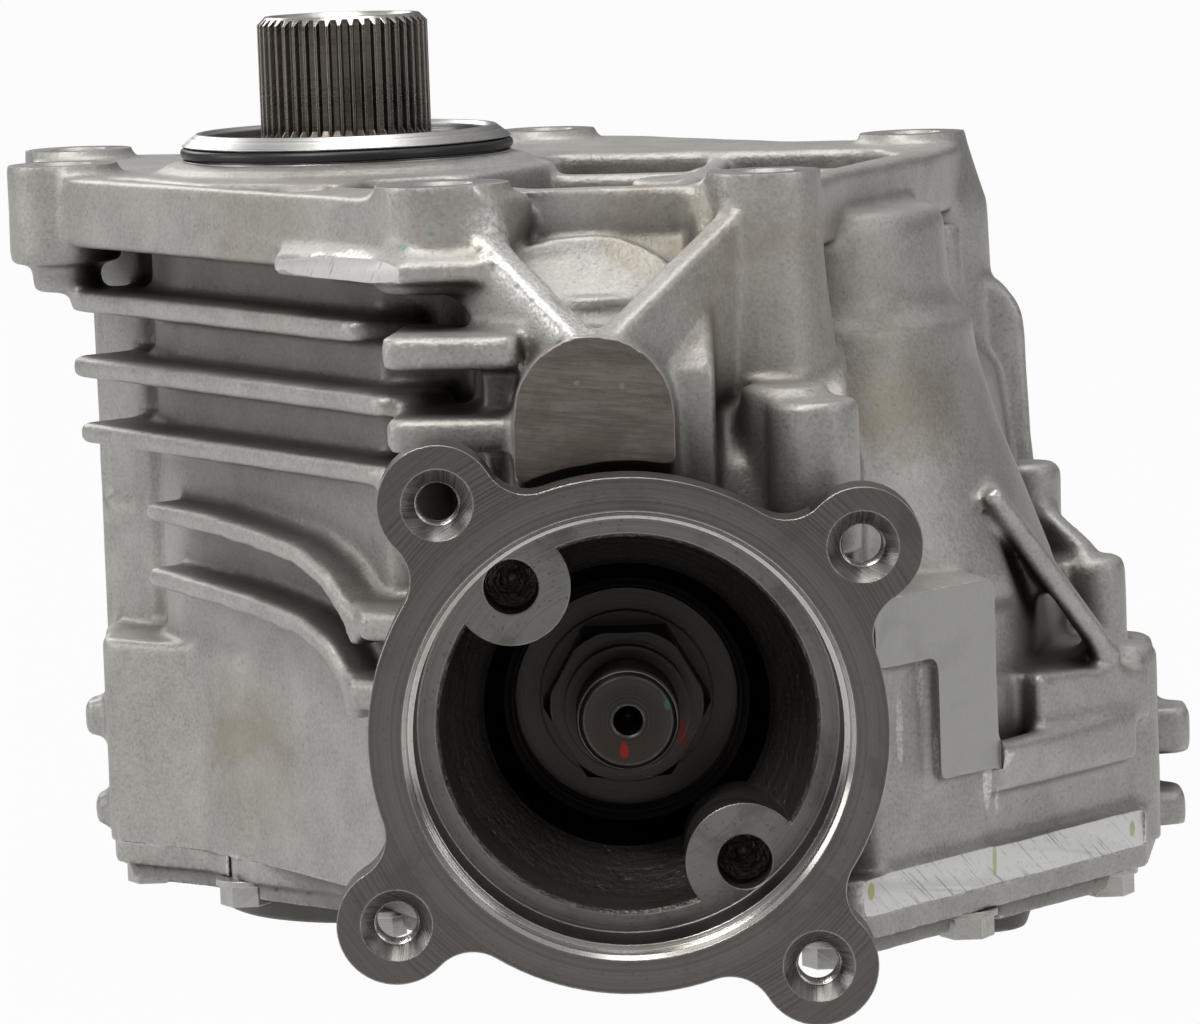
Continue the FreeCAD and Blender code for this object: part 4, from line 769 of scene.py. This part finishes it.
def crestScar(points):
    # bright broken crest of the left V rib: strength falls off with distance from the crest line, with dark
    # cracks where two crossed sine waves meet
    start, end = np.array(scar["foot"]) * mm, np.array(scar["head"]) * mm
    length = np.linalg.norm(end - start)
    along = (end - start) / length
    off = points - start
    run = off @ along
    away = np.linalg.norm(off - run[:, None] * along, axis=1) / (scar["reach"] * mm)
    within = (run > -scar["before"]) & (run < length + scar["after"])
    first, second = (np.sin(points @ np.array(wave)) for wave in scar["waves"])
    crack = (first * second > scar["crackFrom"]) & (away < scar["crackWidth"])
    return np.where(within, np.clip(scar["full"] - away, 0, 1) * scar["bright"] - scar["crack"] * crack, 0.0)


edgeReach = 2.0 * mm


def markEdges(mesh, rounds=3):
    # how far each vertex stands out of its neighbours, per edge length: above 0 on ridges, below 0 in corners
    points, pairs = pointsOf(mesh), edgesOf(mesh)
    count = len(points)
    normals = readAll(mesh.vertex_normals, "vector").astype(float)
    step = points[pairs[:, 0]] - points[pairs[:, 1]]
    length = np.maximum(np.einsum("ij,ij->i", step, step), 1e-10)
    up = np.einsum("ij,ij->i", normals[pairs[:, 0]], step) / length
    down = -np.einsum("ij,ij->i", normals[pairs[:, 1]], step) / length
    share = np.maximum(np.bincount(pairs.ravel(), minlength=count), 1)
    value = (np.bincount(pairs[:, 0], up, count) + np.bincount(pairs[:, 1], down, count)) / share
    value = (value * edgeReach)[:, None]
    for _ in range(rounds):
        value = (value + neighbourMean(value, pairs, count, share)) / 2
    value[:, 0] += crestScar(points)
    attribute = mesh.attributes.new("edge", "FLOAT", "POINT")
    attribute.data.foreach_set("value", np.clip(value[:, 0], -1, 1).astype(np.float32))


def addStock(mesh, planes, stock):
    # machining stock: corners that lie in a machined plane move outwards before the skin is made
    points = pointsOf(mesh)
    for p in planes:
        points[withinPlane(p, points, 0.06, 0.6)] += np.array(p["out"]) * stock
    setPoints(mesh, points)


cutting = {"depth": 6 * mm, "drillSteps": 40}


def cutterFor(planes, drills):
    # one box on the outer side of each machined plane, and drills: rings of radius r at height z, (x + r cos a,
    # y + r sin a, z), closed by a flat face at both ends
    points, faces = [], []
    for p in planes:
        out, at = p["out"], Vector(p["at"]) * mm
        across, up = planeAxes(out)
        w, h = p["wide"] * mm, p["high"] * mm
        start = len(points)
        for depth in (0.0, cutting["depth"]):
            points += [at + across * a + up * b + out * depth for a, b in ((-w, -h), (w, -h), (w, h), (-w, h))]
        faces += [[start + i for i in f] for f in ((0, 3, 2, 1), (4, 5, 6, 7), (0, 1, 5, 4), (1, 2, 6, 5),
                                                   (2, 3, 7, 6), (3, 0, 4, 7))]
    steps = cutting["drillSteps"]
    angles = 2 * np.pi * np.arange(steps) / steps
    for profile, x, y in drills:
        start = len(points)
        r, z = np.array(profile).T
        rings = [x + np.outer(r, np.cos(angles)), y + np.outer(r, np.sin(angles)), np.outer(z, np.ones(steps))]
        points += np.stack(rings, -1).reshape(-1, 3).tolist()
        faces += (start + gridQuads(len(profile), steps)).tolist()
        faces += [list(range(start, start + steps))[::-1], list(range(len(points) - steps, len(points)))]
    return newObject("cutter", newMesh("cutter", [tuple(p) for p in points], faces))


# in millimetres from the foot of the V, h off the front's slope and t up it; the ribs are lines in plan
vWall = {"foot": (54.0, -112.0, -19.5), "lean": (0.0, -0.76, 0.65), "slope": 6.3, "topT": 15.2, "archT": 6.6,
         "shelf": 5.0, "deep": 5.6, "leftDrop": 2.4, "rightDrop": 5.6, "half": 13.2, "left": 35.0,
         "right": 76.5, "fade": 3.5, "lip": 0.9, "lipWide": 2.2, "gap": 0.2, "gapFade": 1.6,
         "high": (16.2, 1.5), "low": (13.0, 3.0), "reach": (2.5, 11.5),
         "leftRib": (52, -146, 24, -114, 7.5), "rightRib": (55, -146, 89, -108, 6.5)}


def smooth(value):
    value = np.clip(value, 0, 1)
    return value * value * (3 - 2 * value)


def ribSide(x, y, ax, ay, bx, by, thick):
    # distances in plan from a rib's side face and, with a sign for the side, from its middle line
    along = np.array([bx - ax, by - ay]) / math.hypot(bx - ax, by - ay)
    side = (x - ax) * along[1] - (y - ay) * along[0]
    return np.abs(side) - thick / 2, side


def shapeV(points):
    # heights h over the sloping front at places (x, t) up the slope: an upright wall down to an arch, a level
    # shelf over the arch and the old slope below it; the ribs, bosses and everything further off stay
    v = vWall
    p = points / mm - np.array(v["foot"])
    lean = np.array(v["lean"]) / np.linalg.norm(v["lean"])
    up = np.array([0.0, lean[2], -lean[1]])
    h, t, x = p @ lean, p @ up, p[:, 0]
    drop = np.where(x < 0, v["leftDrop"], v["rightDrop"]) * (x / v["half"]) ** 2
    arch = v["archT"] - drop
    wall = np.minimum(v["slope"], v["slope"] - (v["topT"] - t) * lean[2] / -lean[1])
    wall = np.maximum(wall, v["slope"] - v["deep"])
    inside = smooth((arch + v["shelf"] * 0.5 - t) / v["shelf"])
    target = wall * (1 - inside) + v["slope"] * inside
    target += v["lip"] * np.exp(-((t - arch + v["lipWide"]) / v["lipWide"]) ** 2)
    worldX, worldY = points[:, 0] / mm, points[:, 1] / mm
    leftGap, leftSide = ribSide(worldX, worldY, *v["leftRib"])
    rightGap, rightSide = ribSide(worldX, worldY, *v["rightRib"])
    share = smooth((leftGap - v["gap"]) / v["gapFade"]) * smooth((rightGap - v["gap"]) / v["gapFade"])
    share = share * (leftSide > 0) * (rightSide < 0)
    share = share * smooth((worldX - v["left"]) / v["fade"]) * smooth((v["right"] - worldX) / v["fade"])
    share = share * smooth((v["high"][0] - t) / v["high"][1]) * smooth((t + v["low"][0]) / v["low"][1])
    share = share * ((h > v["reach"][0]) & (h < v["reach"][1]))
    return points + ((target - h) * share)[:, None] * lean * mm


def voxelSkin(obj, name, size):
    remesh = obj.modifiers.new(name, "REMESH")
    remesh.mode = "VOXEL"
    remesh.voxel_size = size
    bake(obj)


def castSkin(nodeName, name, values, planes, drills, skinFinish, reshape=None):
    # reshape moves the rounded skin's points, and a second skin over them evens its faces
    obj = mergedCopy(nodeName, name)
    addStock(obj.data, planes, values["stock"])
    voxelSkin(obj, "skin", values["voxel"])
    print(name, "skin faces:", len(obj.data.polygons))
    relax(obj.data, values["smoothing"])
    if reshape:
        setPoints(obj.data, reshape(pointsOf(obj.data)))
        voxelSkin(obj, "again", values["voxel"])
        relax(obj.data, values["again"])
    castWave(obj.data, values["wave"])
    thin = obj.modifiers.new("thin", "DECIMATE")
    thin.ratio = min(1.0, values["triangles"] / (2 * len(obj.data.polygons)))
    bake(obj)
    for cuts in ((planes, []), ([], drills)):
        if any(cuts):
            cutter = cutterFor(*cuts)
            saw = obj.modifiers.new("saw", "BOOLEAN")
            saw.operation = "DIFFERENCE"
            saw.object = cutter
            saw.solver = "MANIFOLD"
            bake(obj)
            bpy.data.objects.remove(cutter)
    print(name, "after thinning and machining:", len(obj.data.polygons))
    mesh = obj.data
    setPoints(mesh, np.clip(pointsOf(mesh), *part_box(nodeName)))   # the waves stay inside the solid's box
    mesh.materials.clear()
    mesh.materials.append(finishes[skinFinish])
    mesh.polygons.foreach_set("use_smooth", np.ones(len(mesh.polygons), bool))
    markEdges(mesh)

    def onPlane(p):
        return lambda centres, normals: withinPlane(p, centres, 0.02) & (normals @ np.array(p["out"]) > 0.995)

    paintFaces(obj, [(p["finish"], onPlane(p)) for p in planes if p["finish"]])
    mesh.set_sharp_from_angle(angle=math.radians(values["sharp"]))
    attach(obj, "housing")
    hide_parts(nodeName)


# radius and height of the drill's rings: hole, then a chamfer at the top
drill = {"radius": 5.3 * mm, "depth": 20 * mm, "chamfer": 1.2 * mm, "over": 0.4 * mm}
wider = drill["radius"] + drill["chamfer"]
drillProfile = [(drill["radius"], -drill["depth"]), (drill["radius"], -drill["chamfer"]), (wider, 0.0),
                (wider, drill["over"])]
mountHoles = [m["pos_m"] for m in frame["record"]["mounts"] if m["name"].startswith("mount_hole")]
drills = [(drillProfile, x, y) for x, y, _ in mountHoles]

castSkin("main_case", "castCase", caseSkin, [topPlane, jointBelow] + casePlanes, drills,
         "castCaseSkin", shapeV)
castSkin("bottom_cover", "castCover", coverSkin, [jointAbove], [], "castCoverSkin")
print("cast skins made")


# Turned pilot ring on the case: profile of radius and height, turned round the input axis

pilotRing = {"bore": 31.55 * mm, "edge": 32.4 * mm, "lip": 33.6 * mm, "outer": 36.8 * mm, "top": 6.0 * mm,
             "shoulder": 3.5 * mm, "foot": -0.4 * mm, "grooveR": 35.1 * mm, "grooveLow": 0.3 * mm,
             "grooveHigh": 3.35 * mm, "bevel": 0.8 * mm, "steps": 144}


def turnedPiece(name, profile, steps, body, finishName):
    # surface of a closed profile turned round Z: (r cos a, r sin a, z) over angle and place on the profile
    r, z = np.array(profile).T
    angle = 2 * np.pi * np.arange(steps) / steps
    grid = np.stack([np.outer(np.cos(angle), r), np.outer(np.sin(angle), r), np.outer(np.ones(steps), z)], -1)
    mesh = newMesh(name, grid.reshape(-1, 3).tolist(), gridQuads(steps, len(r), True).tolist())
    mesh.polygons.foreach_set("use_smooth", np.ones(len(mesh.polygons), bool))
    mesh.set_sharp_from_angle(angle=math.radians(30))
    newPiece(name, mesh, body, finishName)


def pilotProfile(v):
    return [(v["bore"], v["foot"]), (v["bore"], v["top"] - v["bevel"]), (v["edge"], v["top"]),
            (v["lip"], v["top"]), (v["outer"], v["shoulder"]), (v["outer"], v["grooveHigh"]),
            (v["grooveR"], v["grooveHigh"]), (v["grooveR"], v["grooveLow"]), (v["outer"], v["grooveLow"]),
            (v["outer"], v["foot"])]


turnedPiece("pilotRing", pilotProfile(pilotRing), pilotRing["steps"], "housing", "turnedTop")


# Threads: a small profile carried along a helix

# corners of the ridge's profile as shares of its height and of the pitch, and how far its feet sink in
threadShape = {"corners": ((0.0, -0.42), (1.0, -0.08), (1.0, 0.08), (0.0, 0.42)), "sink": 0.15, "steps": 40}


def helixThread(name, lines, body, finishName):
    # point on the helix = centre + (r cos t, axial, r sin t), where the profile's four corners are r and axial
    # offsets; the ridge sinks away over the first and last half turn
    points, faces = [], []
    for v in lines:
        turns = abs(v["end"] - v["start"]) / v["pitch"]
        steps = int(turns * threadShape["steps"]) + 1
        t = np.linspace(0, 2 * np.pi * turns, steps)
        rise = np.minimum(1.0, np.minimum(t, t[-1] - t) / np.pi)
        rows = []
        for out, along in threadShape["corners"]:
            r = v["root"] + v["ridge"] * (out * rise - threadShape["sink"] * (1 - out))
            y = v["start"] + (v["end"] - v["start"]) * t / t[-1] + along * v["pitch"]
            rows.append(np.stack([v["x"] + r * np.cos(t), y, v["z"] + r * np.sin(t)], -1))
        last = steps * 4
        ends = np.array([[0, 1, 2, 3], [last - 1, last - 2, last - 3, last - 4]])
        faces += (np.vstack([gridQuads(steps, 4), ends]) + len(points)).tolist()
        points += np.stack(rows, 1).reshape(-1, 3).tolist()
    newPiece(name, newMesh(name, points, faces), body, finishName)


earThread = {"root": 4.52 * mm, "ridge": -0.45 * mm, "pitch": 1.25 * mm, "start": flangeFace + 3.0 * mm,
             "end": flangeFace + 10.3 * mm}
stubThread = {"root": 9.98 * mm, "ridge": 0.55 * mm, "pitch": 1.5 * mm, "start": -143.0 * mm,
              "end": -128.6 * mm}
earLines = [{**earThread, "x": x, "z": z} for x, z in earPlaces]
helixThread("earThreads", earLines, "pinion", "flangeRegister")
helixThread("stubThread", [{**stubThread, "x": pinX, "z": pinZ}], "pinion", "nutSteelAndHubShade")
print("pilot ring and threads made")


# Floor, sky and lamps

studio = {"floorSize": 30.0, "floorTint": (0.20, 0.20, 0.198), "glow": 0.97, "skyTop": 0.55, "skySide": 0.05,
          "mirrored": 0.14}


def makeFloor(v):
    low = boxBefore[0].z
    half = v["floorSize"] / 2
    mesh = bpy.data.meshes.new("floor")
    mesh.from_pydata([(-half, -half, low), (half, -half, low), (half, half, low), (-half, half, low)], [],
                     [(0, 1, 2, 3)])
    mat = bpy.data.materials.new("floorPaper")
    mat.use_nodes = True
    tree = mat.node_tree
    tree.nodes.clear()
    leave = tree.nodes.new("ShaderNodeOutputMaterial")
    paper = addNode(tree, "BsdfDiffuse", {"Color": (*v["floorTint"], 1)})
    white = addNode(tree, "Emission", {"Color": (1, 1, 1, 1), "Strength": 1.0})
    ray = addNode(tree, "LightPath").outputs
    seen = calc(tree, "MAXIMUM", calc(tree, "MAXIMUM", ray["Is Camera Ray"], ray["Is Glossy Ray"]),
                ray["Is Transmission Ray"])
    shown = addNode(tree, "MixShader", {0: times(tree, seen, v["glow"]), 1: paper.outputs[0],
                                        2: white.outputs[0]})
    clear = addNode(tree, "BsdfTransparent")
    under = addNode(tree, "NewGeometry").outputs["Backfacing"]
    both = addNode(tree, "MixShader", {0: under, 1: shown.outputs[0], 2: clear.outputs[0]})
    tree.links.new(both.outputs[0], leave.inputs[0])
    mesh.materials.append(mat)
    newObject("floor", mesh)


def makeSky(v):
    world = bpy.data.worlds.new("studioSky")
    bpy.context.scene.world = world
    world.use_nodes = True
    tree = world.node_tree
    tree.nodes.clear()
    leave = tree.nodes.new("ShaderNodeOutputWorld")
    height = addNode(tree, "SeparateXYZ", {0: addNode(tree, "TexCoord").outputs["Generated"]}).outputs[2]
    level = spread(tree, height, 0.0, 0.9, v["skySide"], v["skyTop"])
    ray = addNode(tree, "LightPath").outputs
    seen = calc(tree, "MAXIMUM", ray["Is Camera Ray"], ray["Is Transmission Ray"])
    level = calc(tree, "MAXIMUM", level, times(tree, seen, v["glow"]))
    level = calc(tree, "MAXIMUM", level, times(tree, ray["Is Glossy Ray"], v["mirrored"]))
    back = addNode(tree, "Background", {"Color": (1, 1, 1, 1), "Strength": level})
    tree.links.new(back.outputs[0], leave.inputs[0])


# place, target, width, height, power, tint
lamps = {
    "keyLamp": ((-0.75, -1.22, 1.66), (0.05, -0.05, -0.05), 0.6, 0.55, 19.0, (1.0, 0.985, 0.96)),
    "fillLamp": ((1.55, -1.10, 0.75), (0.05, -0.05, -0.08), 0.7, 1.0, 5.0, (0.98, 0.985, 1.0)),
    "leftLamp": ((-1.9, -0.15, 0.55), (-0.05, -0.03, -0.08), 0.8, 0.9, 8.0, (1.0, 1.0, 1.0)),
    "topLamp": ((0.10, -0.05, 1.90), (0.05, -0.02, 0.0), 1.2, 1.0, 14.0, (1.0, 1.0, 1.0)),
    "backLamp": ((-0.9, 1.5, 1.0), (0.05, 0.0, -0.05), 0.9, 0.9, 10.0, (1.0, 1.0, 1.0)),
}


def makeLamp(name, place, target, width, height, power, tint):
    data = bpy.data.lights.new(name, "AREA")
    data.shape = "RECTANGLE"
    data.size, data.size_y = width, height
    data.energy, data.color = power, tint
    obj = newObject(name, data)
    obj.location = place
    obj.rotation_euler = (Vector(target) - Vector(place)).to_track_quat("-Z", "Y").to_euler()


makeFloor(studio)
makeSky(studio)
for lampName, values in lamps.items():
    makeLamp(lampName, *values)


# Camera at the photograph's angle

photoView = {"lens": 180.0, "sensor": 36.0, "place": (0.0538, -1.3443, 0.07785), "down": 6.8, "roll": 2.0,
             "near": 0.1, "far": 60.0}


def makeCamera(v):
    data = bpy.data.cameras.new("photoCamera")
    data.lens, data.sensor_width = v["lens"], v["sensor"]
    data.clip_start, data.clip_end = v["near"], v["far"]
    down, roll = math.radians(v["down"]), math.radians(v["roll"])
    ahead = Vector((0, math.cos(down), -math.sin(down)))
    level, rise = Vector((1, 0, 0)), Vector((0, math.sin(down), math.cos(down)))
    right = level * math.cos(roll) - rise * math.sin(roll)
    top = level * math.sin(roll) + rise * math.cos(roll)
    turn = Matrix((right, top, -ahead)).transposed().to_4x4()
    obj = newObject("photoCamera", data)
    obj.matrix_world = Matrix.Translation(v["place"]) @ turn
    bpy.context.scene.camera = obj


makeCamera(photoView)
bpy.context.scene.view_settings.view_transform = "Standard"
print("studio and camera set")
